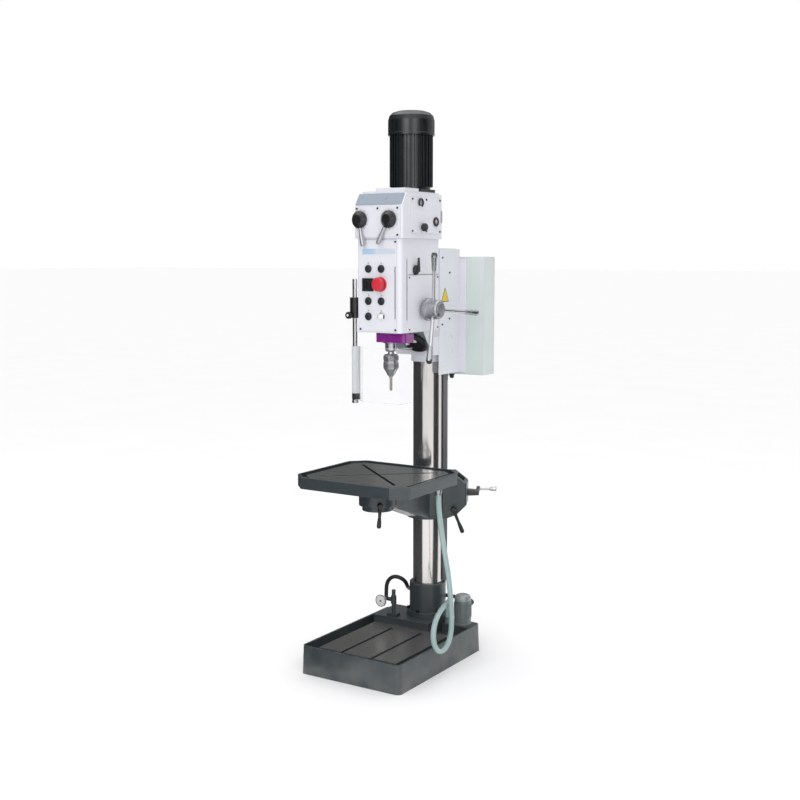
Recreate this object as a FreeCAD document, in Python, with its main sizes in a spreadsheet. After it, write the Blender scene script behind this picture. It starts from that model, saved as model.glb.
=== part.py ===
import FreeCAD, Part
import math
import os
import re
import Sketcher
from FreeCAD import Placement, Rotation, Vector

# Gear-head column drilling machine. Millimetres, +Z up, floor at z = 0.
# The origin is the centre of the foundation bolt holes; the front of the machine faces -Y.

doc = FreeCAD.newDocument("column_drill")
sheet = doc.addObject("Spreadsheet::Sheet", "Sizes")

SIZES = {
    # base casting
    "base_width": 500, "base_length": 684, "base_height": 123, "base_corner": 22,
    "base_draft": 1.8, "base_wall": 16, "rim_width": 12, "channel_depth": 43,
    "base_deck": 16, "pad_drop": 15, "channel_side": 55, "channel_front": 58,
    "pad_rear": 145, "rib_width": 26, "platform_left": 201, "platform_right": 90,
    "platform_height": 143, "boss_radius": 98, "seat_front": 245, "seat_left": 104,
    "anchor_x": 216.5, "anchor_y": 220, "anchor_radius": 9,
    "tslot_pitch": 150, "tslot_width": 14, "tslot_neck": 12, "tslot_foot": 23, "tslot_foot_height": 10,
    # column
    "column_y": 290, "column_radius": 67.5, "column_wall": 14, "column_top": 1790,
    "flange_radius": 82.5, "flange_top": 298, "flange_foot_radius": 96, "flange_foot": 24,
    "bolt_circle": 89, "bolt_shank": 5,
    # rack on the column
    "rack_angle": 25, "rack_depth": 19, "rack_width": 24, "rack_bottom": 303, "rack_top": 1236,
    "rack_pitch": 9.42, "rack_tooth": 5, "rack_block": 62,
    # table
    "table_x": 560, "table_y": 494, "table_corner": 60, "table_top": 856, "table_rim": 50,
    "table_rim_width": 10, "table_channel": 24, "table_channel_depth": 18, "table_pad_drop": 5, "table_floor": 14,
    "table_skirt": 12, "table_centre": -121, "pivot_radius": 30, "pivot_bottom": 694,
    "table_slot": 14, "table_slot_neck": 8, "table_slot_foot": 23, "table_slot_foot_height": 9,
    # table arm
    "arm_boss_radius": 80, "arm_step_radius": 66, "arm_step": 22, "arm_bottom": 700,
    "arm_web": 112, "arm_web_top": 32, "collar_radius": 97, "collar_top": 800, "collar_bottom": 600,
    "gearbox_reach": 179, "gearbox_half": 62, "gearbox_bevel_reach": 45, "gearbox_bevel": 45,
    "worm_offset": 30, "worm_height": 705, "wheel_radius": 30, "worm_radius": 12, "pinion_radius": 22,
    "crank_shaft_radius": 9, "crank_hub_length": 50, "crank_throw": 90, "crank_handle_length": 76,
    # head
    "head_half": 107, "head_front": -105, "head_back": 194, "head_bottom": 1448, "head_top": 1839,
    "head_wall": 10, "head_corner": 20, "rear_half": 96, "rear_back": 378, "rear_bottom": 1338,
    "rear_top": 1800, "socket_radius": 77, "socket_bottom": 1304, "neck_front": 75, "lamp_x": 34, "lamp_radius": 58,
    "scale_low": 1508, "scale_high": 1724, "side_cover_top": 1688,
    # gearbox on top of the head
    "box_half": 119, "box_front": -114, "box_back": 206, "box_top": 2026, "box_fold": 1974,
    "box_slant": 33, "box_wall": 9,
    "lid_thickness": 8, "lid_step": 12, "panel_thickness": 3, "cover_thickness": 4,
    "box_cover_front": -52, "box_cover_back": 184, "cover_knob_y": 33, "cover_knob_z": 1886,
    # spindle
    "spindle_y": -17, "quill_radius": 33, "quill_wall": 11, "quill_top": 1790, "barrel_radius": 45,
    "barrel_top": 1620, "collar_low": 1401, "collar_left": 56, "collar_right": 95, "collar_depth": 84,
    "spindle_radius": 17, "spindle_top": 2012, "nose_radius": 25, "nose_bottom": 1365,
    "chuck_radius": 32, "chuck_bottom": 1262, "drill_radius": 6, "drill_tip": 1196,
    "depth_rod_x": 79, "depth_rod_radius": 6, "depth_rod_top": 1712,
    # motor and gears
    "motor_y": 144, "motor_core": 82, "motor_fin": 93, "motor_foot_half": 92, "motor_foot": 14,
    "motor_body_top": 2282, "motor_wall": 10, "fan_cover_radius": 99, "motor_top": 2380,
    "motor_shaft_radius": 12, "idler_x": 44.3, "idler_y": 72.6,
    "motor_pinion": 28, "idler_wheel": 56, "idler_pinion": 30, "spindle_wheel": 70, "gear_width": 24,
    "mesh_gap": 0.5, "tooth_depth": 4,
    # feed hub on the right side
    "hub_y": 70, "hub_z": 1543, "hub_radius": 48, "hub_inner": 122, "hub_length": 70,
    "feed_shaft_radius": 12, "feed_boss_radius": 24, "spoke_radius": 8, "spoke_length": 265,
    "spoke_lean": 15, "wheel_turn": 25, "grip_radius": 14, "grip_length": 74,
    # controls
    "dial_left_x": -87, "dial_right_x": 57, "dial_z": 1917, "dial_radius": 36, "dial_depth": 26,
    "dial_lever": 112, "feed_selector_y": 4, "feed_selector_z": 1709,
    "button_radius": 12.5, "bezel_radius": 16.5, "button_left": -53, "button_right": 11,
    "button_row_1": 1714, "button_row_2": 1580, "button_row_3": 1516, "switch_row": 1648,
    # chip guard
    "guard_x": -136, "guard_y": -88, "guard_rod_radius": 10, "guard_top": 1671, "guard_low": 1148,
    "guard_sleeve_low": 1507, "guard_sleeve_high": 1593, "guard_sleeve_radius": 21,
    "shield_top": 1388, "shield_bottom": 1157, "shield_thickness": 3,
    # electrical cabinet
    "cabinet_left": -107, "cabinet_right": 223, "cabinet_front": 392, "cabinet_depth": 100,
    "cabinet_low": 1240, "cabinet_high": 1764, "sheet_metal": 2.5, "door_depth": 16,
    # coolant
    "pump_x": 184, "pump_y": 290, "pump_radius": 38, "pump_height": 137, "pump_outlet": 74,
    "sump_x": 124, "sump_y": 262,
    "stand_x": -112, "stand_y": 176, "stand_top": 262, "stand_reach": 40,
    "drain_x": 257, "drain_y": -50, "drain_hose_radius": 11.5, "coolant_hose_radius": 9,
    # running clearances
    "slide_gap": 0.05, "free_gap": 0.4,
}
for row, (alias, value) in enumerate(SIZES.items(), start=1):
    sheet.set("A%d" % row, alias)
    sheet.set("B%d" % row, str(value))
    sheet.setAlias("B%d" % row, alias)
doc.recompute()

WORD = re.compile(r"[a-z_]+[a-z_0-9]*")


def formula(text):
    """Names of sheet cells in a formula become references to the sheet."""
    return WORD.sub(lambda m: "Sizes." + m.group(0) if m.group(0) in SIZES else m.group(0), str(text))


def size(name):
    return float(getattr(sheet, name))


def value_of(text):
    """Number that a formula of sheet names stands for, taken through the document's own expression engine."""
    return float(sheet.evalExpression(formula(text).replace("Sizes.", "")))


def bind(thing, prop, text):
    thing.setExpression(prop, formula(text))


def put(thing, at, turn=None):
    """Places an object: the position is bound to the sheet, and the turn is (axis, degrees)."""
    rotation = Rotation() if turn is None else Rotation(Vector(*turn[0]), turn[1])
    thing.Placement = Placement(Vector(), rotation)
    for axis, text in zip("xyz", at):
        bind(thing, "Placement.Base." + axis, text)
    return thing


# ---- Part primitives ----

def block(x0, x1, y0, y1, z0, z1):
    thing = doc.addObject("Part::Box", "block")
    bind(thing, "Length", "(%s) - (%s)" % (x1, x0))
    bind(thing, "Width", "(%s) - (%s)" % (y1, y0))
    bind(thing, "Height", "(%s) - (%s)" % (z1, z0))
    return put(thing, (x0, y0, z0))


TURNS = {"z": None, "x": ((0, 1, 0), 90), "y": ((1, 0, 0), -90)}


def rod(radius, length, at, axis="z"):
    """A cylinder that starts at a point and runs along +x, +y or +z."""
    thing = doc.addObject("Part::Cylinder", "rod")
    bind(thing, "Radius", radius)
    bind(thing, "Height", length)
    return put(thing, at, TURNS[axis])


def cone(radius_low, radius_high, length, at, axis="z"):
    thing = doc.addObject("Part::Cone", "cone")
    bind(thing, "Radius1", radius_low)
    bind(thing, "Radius2", radius_high)
    bind(thing, "Height", length)
    return put(thing, at, TURNS[axis])


def join(*things):
    whole = doc.addObject("Part::MultiFuse", "join")
    whole.Shapes = list(things)
    return whole


def minus(base, *tools):
    whole = doc.addObject("Part::Cut", "cut")
    whole.Base = base
    whole.Tool = tools[0] if len(tools) == 1 else join(*tools)
    return whole


def group(*things):
    """Separate solids that share one node."""
    whole = doc.addObject("Part::Compound", "group")
    whole.Links = list(things)
    return whole


def turned_about(thing, centre, axis, degrees):
    """The same shape, turned about a line through a point."""
    copy = doc.addObject("Part::Compound", "turned")
    copy.Links = [thing]
    spin = Rotation(Vector(*axis), degrees)
    centre = Vector(*[value_of(c) for c in centre])
    copy.Placement = Placement(centre - spin.multVec(centre), spin)
    return copy


# ---- PartDesign bodies ----

def plane(body, role):
    return [f for f in body.Origin.OriginFeatures if f.Role == role][0]


def sketch(body, role, offset=0):
    drawing = body.newObject("Sketcher::SketchObject", "outline")
    drawing.AttachmentSupport = [(plane(body, role), "")]
    drawing.MapMode = "FlatFace"
    bind(drawing, "AttachmentOffset.Base.z", offset)
    return drawing


def outline(drawing, points):
    """Closed straight outline, with each corner bound to a pair of formulas."""
    corners = [Vector(value_of(a), value_of(b), 0) for a, b in points]
    count = len(corners)
    for i in range(count):
        drawing.addGeometry(Part.LineSegment(corners[i], corners[(i + 1) % count]), False)
    for i in range(count):
        drawing.addConstraint(Sketcher.Constraint("Coincident", i, 2, (i + 1) % count, 1))
    for i, (a, b) in enumerate(points):
        for kind, text, number in (("DistanceX", a, corners[i].x), ("DistanceY", b, corners[i].y)):
            index = drawing.addConstraint(Sketcher.Constraint(kind, -1, 1, i, 1, number))
            bind(drawing, "Constraints[%d]" % index, text)


def rectangle(x0, x1, y0, y1):
    return [(x0, y0), (x1, y0), (x1, y1), (x0, y1)]


def pad(body, role, offset, points, length, taper=None, midplane=False):
    drawing = sketch(body, role, offset)
    outline(drawing, points)
    feature = body.newObject("PartDesign::Pad", "pad")
    feature.Profile = drawing
    bind(feature, "Length", length)
    feature.Midplane = midplane
    if taper is not None:
        bind(feature, "TaperAngle", taper)
    return feature


def pocket(body, role, offset, points, depth, upward=False, midplane=False):
    drawing = sketch(body, role, offset)
    outline(drawing, points)
    feature = body.newObject("PartDesign::Pocket", "pocket")
    feature.Profile = drawing
    bind(feature, "Length", depth)
    feature.Reversed = upward
    feature.Midplane = midplane
    return feature


def turned(points, at=(0, 0, 0), turn=None):
    """Body of revolution: the profile is (radius, height) pairs about its own vertical axis."""
    body = doc.addObject("PartDesign::Body", "turned")
    drawing = sketch(body, "XZ_Plane")
    outline(drawing, points)
    feature = body.newObject("PartDesign::Revolution", "revolution")
    feature.Profile = drawing
    feature.ReferenceAxis = (drawing, ["V_Axis"])
    feature.Angle = 360
    return put(body, at, turn)


def fillet(body, radius, wanted):
    """Rounds the edges of the body that a test picks by their mid point and direction."""
    doc.recompute()
    names = []
    for i, edge in enumerate(body.Tip.Shape.Edges, start=1):
        middle = edge.valueAt((edge.FirstParameter + edge.LastParameter) / 2)
        along = edge.tangentAt((edge.FirstParameter + edge.LastParameter) / 2)
        if wanted(middle, along):
            names.append("Edge%d" % i)
    feature = body.newObject("PartDesign::Fillet", "fillet")
    feature.Base = (feature.BaseFeature, names)
    bind(feature, "Radius", radius)
    return feature


NODES = {}


def node(name, thing):
    thing.Label = name
    NODES[name] = thing
    return thing


# ---- base ----

def make_base():
    half_w, half_l = "base_width / 2", "base_length / 2"
    rim_x, rim_y = "(%s - rim_width)" % half_w, "(%s - rim_width)" % half_l
    floor = "base_height - channel_depth"
    body = doc.addObject("PartDesign::Body", "base")
    pad(body, "XY_Plane", 0, rectangle("-" + half_w, half_w, "-" + half_l, half_l), "base_height",
        taper="-base_draft")
    fillet(body, "base_corner", lambda p, t: abs(t.z) > 0.9)
    pocket(body, "XY_Plane", "base_height", rectangle("-" + rim_x, rim_x, "-" + rim_y, rim_y),
           "channel_depth")
    work = block("-(%s - channel_side)" % half_w, "%s - channel_side" % half_w,
                 "-(%s - channel_front)" % half_l, "pad_rear + 5", floor, "base_height - pad_drop")
    platform = block("-platform_left", "platform_right", "pad_rear", rim_y + " + 2", floor,
                     "platform_height")
    boss = rod("boss_radius", "platform_height", (0, "column_y", 0))
    seat = block("seat_left", rim_x + " + 2", "seat_front", rim_y + " + 2", floor, "base_height")
    hollows = []
    for side_x in (-1, 1):
        for side_y in (-1, 1):
            near_x, far_x = "rib_width / 2", half_w + " - base_wall"
            near_y, far_y = "rib_width / 2", half_l + " - base_wall"
            xs = (near_x, far_x) if side_x > 0 else ("-(%s)" % far_x, "-(%s)" % near_x)
            ys = (near_y, far_y) if side_y > 0 else ("-(%s)" % far_y, "-(%s)" % near_y)
            hollows.append(block(xs[0], xs[1], ys[0], ys[1], -1, floor + " - base_deck"))
    slots = []
    for side in (-1, 1):
        middle = "%d * tslot_pitch / 2" % side
        top = "base_height - pad_drop"
        front, rear = "-(%s)" % half_l + " + channel_front - 1", "pad_rear - 30"
        slots.append(block(middle + " - tslot_width / 2", middle + " + tslot_width / 2", front, rear,
                           top + " - tslot_neck - 1", top + " + 1"))
        slots.append(block(middle + " - tslot_foot / 2", middle + " + tslot_foot / 2", front, rear,
                           top + " - tslot_neck - tslot_foot_height", top + " - tslot_neck"))
    anchors = [rod("anchor_radius", "base_height + 2", ("%d * anchor_x" % i, "%d * anchor_y" % j, -1))
               for i in (-1, 1) for j in (-1, 1)]
    lugs = [rod("anchor_radius * 2.2", floor, ("%d * anchor_x" % i, "%d * anchor_y" % j, 0))
            for i in (-1, 1) for j in (-1, 1)]
    bolts = flange_holes("bolt_shank", "platform_height - 30", 31)
    return minus(join(minus(join(body, boss), *hollows), work, platform, seat, *lugs), *slots, *anchors, *bolts)


def flange_holes(radius, start, length):
    """Six round pieces on the bolt circle of the column foot."""
    pieces = []
    for i in range(6):
        angle = 30 + 60 * i
        place = ("bolt_circle * cos(%d deg)" % angle, "column_y + bolt_circle * sin(%d deg)" % angle, start)
        pieces.append(rod(radius, length, place))
    return pieces


def make_column_foot():
    bore = "(column_radius + slide_gap)"
    ring = turned([(bore, "platform_height"), ("flange_foot_radius", "platform_height"),
                   ("flange_foot_radius", "platform_height + flange_foot"),
                   ("flange_radius", "platform_height + flange_foot"), ("flange_radius", "flange_top - 4"),
                   ("flange_radius - 4", "flange_top"), (bore, "flange_top")], (0, "column_y", 0))
    return minus(ring, *flange_holes("bolt_shank + 0.3", "platform_height - 1", "flange_foot + 2"))


def make_foot_bolts():
    heads = []
    for shank, head in zip(flange_holes("bolt_shank", "platform_height - 30", "flange_foot + 30"),
                           flange_holes("bolt_shank * 1.28", "platform_height + flange_foot", 9)):
        heads.append(join(shank, head))
    return group(*heads)


def make_column():
    return turned([("column_radius - column_wall", "platform_height"), ("column_radius", "platform_height"),
                   ("column_radius", "column_top"), ("column_radius - column_wall", "column_top")],
                  (0, "column_y", 0))


def make_rack():
    """Toothed bar beside the column; teeth face away from it."""
    inner, outer = "column_radius + 1", "column_radius + 1 + rack_depth"
    bar = block(inner, outer, "-rack_width / 2", "rack_width / 2", "rack_bottom", "rack_top")
    gap = doc.addObject("Part::Wedge", "tooth_gap")
    for prop, text in (("Xmin", "0"), ("Xmax", "rack_pitch * 0.62"), ("X2min", "rack_pitch * 0.16"),
                       ("X2max", "rack_pitch * 0.46"), ("Ymin", "0"), ("Ymax", "rack_tooth"), ("Zmin", "0"),
                       ("Zmax", "rack_width + 4"), ("Z2min", "0"), ("Z2max", "rack_width + 4")):
        bind(gap, prop, text)
    cutter = Rotation(Vector(0, 0, 1), Vector(-1, 0, 0), Vector(0, -1, 0), "XYZ")
    gap.Placement = Placement(Vector(), cutter)
    doc.recompute()
    count = int((size("rack_top") - size("rack_bottom") - 20) / size("rack_pitch"))
    outer_face = value_of(outer) + 0.01
    teeth = Part.makeCompound([
        moved(gap.Shape, outer_face, size("rack_width") / 2 + 2,
              size("rack_bottom") + 10 + i * size("rack_pitch")) for i in range(count)])
    piece = doc.addObject("Part::Feature", "rack_bar")
    piece.Shape = bar.Shape.cut(teeth)
    return about_column(piece)


def moved(shape, x, y, z):
    copy = shape.copy()
    copy.translate(Vector(x, y, z))
    return copy


def about_column(thing):
    """Turns a piece drawn on the +X side of a column at the origin to the rack's side of the real column."""
    holder = doc.addObject("Part::Compound", "turned")
    holder.Links = [thing]
    holder.Placement = Placement(Vector(0, size("column_y"), 0), Rotation(Vector(0, 0, 1), size("rack_angle")))
    return holder


def make_rack_block():
    body = block("column_radius + 1", "column_radius + 3 + rack_depth", "-rack_width / 2 - 3",
                 "rack_width / 2 + 3",
                 "rack_top", "rack_top + rack_block - 2")
    return about_column(body)


# ---- table and arm ----

def octagon(inset, half_x="table_x / 2", half_y="table_y / 2", corner="table_corner"):
    x, y = "(%s - %s)" % (half_x, inset), "(%s - %s)" % (half_y, inset)
    c = "(%s - %s * 0.586)" % (corner, inset)
    return [("-%s + %s" % (x, c), "-" + y), ("%s - %s" % (x, c), "-" + y), (x, "-%s + %s" % (y, c)),
            (x, "%s - %s" % (y, c)), ("%s - %s" % (x, c), y), ("-%s + %s" % (x, c), y),
            ("-" + x, "%s - %s" % (y, c)), ("-" + x, "-%s + %s" % (y, c))]


def make_table():
    low = "table_top - table_rim"
    floor = "(table_top - table_channel_depth)"
    body = doc.addObject("PartDesign::Body", "table")
    pad(body, "XY_Plane", low, octagon("0"), "table_rim")
    fillet(body, 4, lambda p, t: p.z > size("table_top") - 0.1)
    pocket(body, "XY_Plane", "table_top", octagon("table_rim_width"), "table_top - " + floor)
    pad(body, "XY_Plane", floor, octagon("(table_rim_width + table_channel)"),
        "table_top - table_pad_drop - " + floor)
    pocket(body, "XY_Plane", low, octagon("table_skirt"), floor + " - table_floor - (%s)" % low, upward=True)
    put(body, (0, "table_centre", 0))
    boss = rod("pivot_radius + 32", floor + " - (%s)" % low, (0, "table_centre", low))
    nozzle = rod(13, "(%s) - (%s)" % (floor, low), ("drain_x", "drain_y", low))
    bars = []
    top = "table_top - table_pad_drop"
    lean = math.degrees(math.atan2(size("table_y") - 70, size("table_x") - 70))
    for side in (-1, 1):
        bars.append(diagonal_bar("table_slot", top + " - table_slot_neck - 1", top + " + 1", side * lean))
        bars.append(diagonal_bar("table_slot_foot", top + " - table_slot_neck - table_slot_foot_height",
                                 top + " - table_slot_neck", side * lean))
    drain = rod(6, 60, ("drain_x", "drain_y", low + " - 1"))
    spigot = rod("pivot_radius - 8", 20, (0, "table_centre", low + " - 1"))
    return minus(join(body, boss, nozzle), *bars, drain, spigot)


def diagonal_bar(width, low, high, degrees):
    bar = block("-table_x / 2 + table_rim_width + 14", "table_x / 2 - table_rim_width - 14",
                "-(%s) / 2" % width, "(%s) / 2" % width, low, high)
    holder = doc.addObject("Part::Compound", "turned")
    holder.Links = [bar]
    holder.Placement = Placement(Vector(0, size("table_centre"), 0), Rotation(Vector(0, 0, 1), degrees))
    return holder


def make_table_pivot():
    low = "table_top - table_rim"
    return turned([(0, "pivot_bottom"), ("pivot_radius + 9", "pivot_bottom"),
                   ("pivot_radius + 9", "arm_bottom - 0.4"), ("pivot_radius", "arm_bottom - 0.4"),
                   ("pivot_radius", low), ("pivot_radius - 8", low), ("pivot_radius - 8", low + " + 18"),
                   (0, low + " + 18")], (0, "table_centre", 0))


def make_arm():
    boss_top = "table_top - table_rim - free_gap"
    boss = rod("arm_boss_radius", "(%s) - arm_bottom - arm_step" % boss_top,
               (0, "table_centre", "arm_bottom + arm_step"))
    step = rod("arm_step_radius", "arm_step", (0, "table_centre", "arm_bottom"))
    web = doc.addObject("PartDesign::Body", "web")
    top = "(table_top - table_rim - arm_web_top)"
    pad(web, "YZ_Plane", 0, [("table_centre", top), ("column_y", top), ("column_y", "collar_bottom"),
                             ("column_y - column_radius - 8", "collar_bottom"),
                             ("table_centre + arm_boss_radius * 0.8", "arm_bottom"),
                             ("table_centre", "arm_bottom")], "arm_web", midplane=True)
    fillet(web, 10, lambda p, t: abs(p.x) > size("arm_web") / 2 - 0.1 and p.y < 200 and p.z < 705)
    collar = rod("collar_radius", "collar_top - collar_bottom", (0, "column_y", "collar_bottom"))
    gearbox = doc.addObject("PartDesign::Body", "gearbox")
    reach = "gearbox_reach"
    pad(gearbox, "XZ_Plane", 0, [(0, "collar_bottom"), ("gearbox_reach * 0.5", "collar_bottom"),
                                 (reach + " - gearbox_bevel_reach", "collar_bottom + 18"),
                                 (reach, "collar_bottom + 18 + gearbox_bevel"),
                                 (reach, "collar_top + 2 - gearbox_bevel"),
                                 (reach + " - 58", "collar_top + 2"), (0, "collar_top + 2")],
        "gearbox_half * 2", midplane=True)
    fillet(gearbox, 12, lambda p, t: p.x > size("gearbox_reach") - 0.1 and abs(t.z) > 0.9)
    bearing = rod("crank_shaft_radius + slide_gap", 40, (reach + " - 30", "worm_offset", "worm_height"), "x")
    groove = block("column_radius - 8", "column_radius + 1 + rack_depth + 0.5", "-rack_width / 2 - 0.5",
                   "rack_width / 2 + 0.5", "collar_bottom - 1", "collar_top + 8")
    side = about_column(minus(gearbox, bearing))
    slot = about_column(groove)
    inner = about_column(block("column_radius + 10", reach + " - 14", "-34", "48", "worm_height - 24",
                               "collar_top - 8"))
    bore = rod("column_radius + slide_gap", 240, (0, "column_y", "collar_bottom - 10"))
    pivot = rod("pivot_radius + slide_gap", 130, (0, "table_centre", "arm_bottom - 2"))
    split = block("-collar_radius - 2", "-column_radius + 20", "column_y - 2", "column_y + 2",
                  "collar_bottom - 1",
                  "collar_top + 1")
    studs = [lever_bore(*TABLE_CLAMP), about_column(lever_bore(*COLUMN_CLAMP))]
    return minus(join(boss, step, web, collar, side), bore, pivot, slot, inner, split, *studs)


def make_crank_shaft():
    """Worm shaft that the crank turns, lying under the lift wheel."""
    start = "column_radius + rack_depth - 3"
    shaft = rod("crank_shaft_radius", "gearbox_reach + crank_hub_length - (%s)" % start,
                (start, "worm_offset", "worm_height"), "x")
    worm = rod("worm_radius", 46, ("column_radius + rack_depth + 2", "worm_offset", "worm_height"), "x")
    return about_column(join(shaft, worm))


def wheel_axis():
    reach = "(column_radius + 1 + rack_depth + pinion_radius + free_gap)"
    height = "(worm_height + worm_radius + wheel_radius + free_gap)"
    return reach, height


def make_lift_gear():
    reach, height = wheel_axis()
    wheel = rod("wheel_radius", 16, (reach, "worm_offset - 8", height), "y")
    pinion = rod("pinion_radius", 24, (reach, -12, height), "y")
    shaft = rod(8, 74, (reach, -30, height), "y")
    return about_column(join(wheel, pinion, shaft))


def make_crank_arm():
    start = "(gearbox_reach + 1)"
    hub = cone(17, 14, "crank_hub_length - 1", (start, "worm_offset", "worm_height"), "x")
    bore = rod("crank_shaft_radius", 60, ("gearbox_reach", "worm_offset", "worm_height"), "x")
    tail = "(gearbox_reach + crank_hub_length - 16)"
    bar = block(tail, tail + " + 14", "worm_offset + 10", "worm_offset + crank_throw", "worm_height - 10",
                "worm_height + 10")
    eye = rod(12, 14, (tail, "worm_offset + crank_throw", "worm_height"), "x")
    return about_column(join(minus(hub, bore), bar, eye))


def make_crank_handle():
    start = "(gearbox_reach + crank_hub_length - 2)"
    profile = [(0, 0), (8, 0), (7, "crank_handle_length * 0.55"), (11, "crank_handle_length * 0.8"),
               (12, "crank_handle_length - 3"), (9, "crank_handle_length"), (0, "crank_handle_length")]
    piece = turned(profile, (start, "worm_offset + crank_throw", "worm_height"), ((0, 1, 0), 90))
    return about_column(piece)


def clamp_lever(length, droop):
    """Black clamp lever: a hub on the z axis with its stud below and an arm that rises outward."""
    hub = turned([(0, 0.4), (12, 0.4), (12, 20), (9, 26), (0, 26)])
    arm = turned([(0, 6), (8, 6), (6.5, "%s * 0.5" % length), (9, "%s * 0.75" % length),
                  (9.5, "%s - 6" % length), (6, length), (0, length)], (0, 0, 13), ((0, 1, 0), 90 + droop))
    stud = rod(5, 13, (0, 0, -12))
    return join(hub, arm, stud)


def lever_bore(at, facing):
    """Hole that a clamp lever's stud turns in."""
    bore = rod(5.3, 16, (0, 0, -14))
    return aimed(bore, at, facing, 0)


def aimed(thing, at, facing, spin):
    """Turns a piece drawn along +z so that it points along facing, with a first spin about its own axis."""
    holder = doc.addObject("Part::Compound", "aimed")
    holder.Links = [thing]
    aim = Rotation(Vector(0, 0, 1), Vector(*facing))
    holder.Placement = Placement(Vector(*[value_of(c) for c in at]),
                                 aim.multiply(Rotation(Vector(0, 0, 1), spin)))
    return holder


def make_lever(length, at, facing, arm_turn, droop=-16):
    """Clamp lever whose hub axis points along facing, with the arm turned about that axis."""
    return aimed(clamp_lever(length, droop), at, facing, arm_turn)


TABLE_CLAMP = ((52, "table_centre - 62", 733), (0.64, -0.77, 0))
COLUMN_CLAMP = ((122, "-gearbox_half", 645), (0, -1, 0))


# ---- head ----

# The feed wheel reaches from its own shaft to the face of the quill.
FEED_WHEEL = "(hub_y - spindle_y - quill_radius - free_gap)"


def make_head():
    """Hollow head casting: front box, quill barrel, rear housing round the column, tapered neck and socket."""
    front = doc.addObject("PartDesign::Body", "front")
    pad(front, "XY_Plane", "head_bottom", rectangle("-head_half", "head_half", "head_front", "head_back"),
        "head_top - head_bottom")
    fillet(front, "head_corner", lambda p, t: abs(t.z) > 0.9 and p.y < 0 and p.x > 0)
    rear = doc.addObject("PartDesign::Body", "rear")
    pad(rear, "XY_Plane", "rear_bottom", rectangle("-rear_half", "rear_half", "head_back - 20", "rear_back"),
        "rear_top - rear_bottom")
    fillet(rear, 24, lambda p, t: abs(t.z) > 0.9 and p.y > 200)
    neck = doc.addObject("Part::Wedge", "neck")
    for prop, text in (("Xmin", "-rear_half + 20"), ("Xmax", "rear_half - 20"), ("X2min", "-head_half + 3"),
                       ("X2max", "head_half - 3"), ("Ymin", "0"), ("Ymax", "head_bottom - rear_bottom"),
                       ("Zmin", "-(head_back + 20)"), ("Zmax", "-head_back"),
                       ("Z2min", "-(head_back + 20)"), ("Z2max", "-neck_front")):
        bind(neck, prop, text)
    put(neck, (0, 0, "rear_bottom"), ((1, 0, 0), 90))
    socket = rod("socket_radius", "rear_bottom + 6 - socket_bottom", (0, "column_y", "socket_bottom"))
    hollow = block("-head_half + head_wall", "head_half - head_wall", "head_front + head_wall",
                   "head_back - 30",
                   "head_bottom + head_wall", "head_top - head_wall")
    barrel = rod("barrel_radius", "barrel_top - head_bottom", (0, "spindle_y", "head_bottom"))
    boss = rod("feed_boss_radius", 46, ("head_half - 48", "hub_y", "hub_z"), "x")
    shell = join(minus(join(front, rear, neck, socket), hollow), barrel, boss)
    column = rod("column_radius + slide_gap", "column_top + 1 - socket_bottom + 2",
                 (0, "column_y", "socket_bottom - 1"))
    quill = rod("quill_radius + slide_gap", "head_top + 2 - head_bottom", (0, "spindle_y", "head_bottom - 1"))
    stop = rod("depth_rod_radius + free_gap", 20, ("depth_rod_x", "spindle_y", "head_bottom - 1"))
    bearing = rod("feed_shaft_radius + slide_gap", 70, ("head_half - 60", "hub_y", "hub_z"), "x")
    reach = block(-16, 16, "spindle_y + quill_radius - 6", "hub_y", "hub_z - (%s) - 2" % FEED_WHEEL,
                  "hub_z + %s + 2" % FEED_WHEEL)
    openings = block("-head_half + 40", "head_half - 40", "head_front + 40", "head_back - 40", "head_top - 12",
                     "head_top + 1")
    slot = block("depth_rod_x - 2", "depth_rod_x + 2", "head_front - 1", "head_front + head_wall + 1",
                 "scale_low", "scale_high")
    return minus(shell, column, quill, stop, bearing, reach, openings, slot)


def make_gearbox():
    """Upper housing with a slanted front; open at the top under its lid."""
    shell = doc.addObject("PartDesign::Body", "gear_house")
    slant_y = "box_front + box_slant"
    pad(shell, "YZ_Plane", 0, [("box_front", "head_top"), ("box_back", "head_top"), ("box_back", "box_top"),
                               (slant_y, "box_top"), ("box_front", "box_fold")], "box_half * 2", midplane=True)
    fillet(shell, 8, lambda p, t: abs(t.z) > 0.9)
    wall = "box_wall"
    pocket(shell, "YZ_Plane", 0,
           [("box_front + " + wall, "head_top + " + wall), ("box_back - " + wall, "head_top + " + wall),
            ("box_back - " + wall, "box_top - " + wall), (slant_y + " + 6", "box_top - " + wall),
            ("box_front + " + wall, "box_fold - 2")], "(box_half - box_wall) * 2", midplane=True)
    mouth = block("-box_half + 26", "box_half - 26", "box_front + box_slant + 22", "box_back - 24",
                  "box_top - box_wall - 1", "box_top + 1")
    bore = rod("quill_radius + 4", "box_wall + 2", (0, "spindle_y", "head_top - 1"))
    return minus(shell, mouth, bore)


def make_lid():
    plate = block("-box_half + 14", "box_half - 14", "box_front + box_slant + 8", "box_back - 8", "box_top",
                  "box_top + lid_thickness")
    step = block("-box_half + 81", "box_half - 14", "box_front + box_slant + 8", "box_front + 148",
                 "box_top + lid_thickness - 1", "box_top + lid_thickness + lid_step")
    return minus(join(plate, step), rod("motor_core - 20", "lid_thickness + 2", (0, "motor_y", "box_top - 1")))


def make_lower_panel():
    """Control panel plate on the front of the head, with its row holes and the depth slot."""
    face = "head_front"
    plate = block("-head_half + 4", "head_half - head_corner", face + " - panel_thickness", face,
                  "head_bottom + 6", "head_top - 6")
    slot = block("depth_rod_x - 2", "depth_rod_x + 2", face + " - panel_thickness - 1", face + " + 1",
                 "scale_low", "scale_high")
    return minus(plate, slot)


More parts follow.
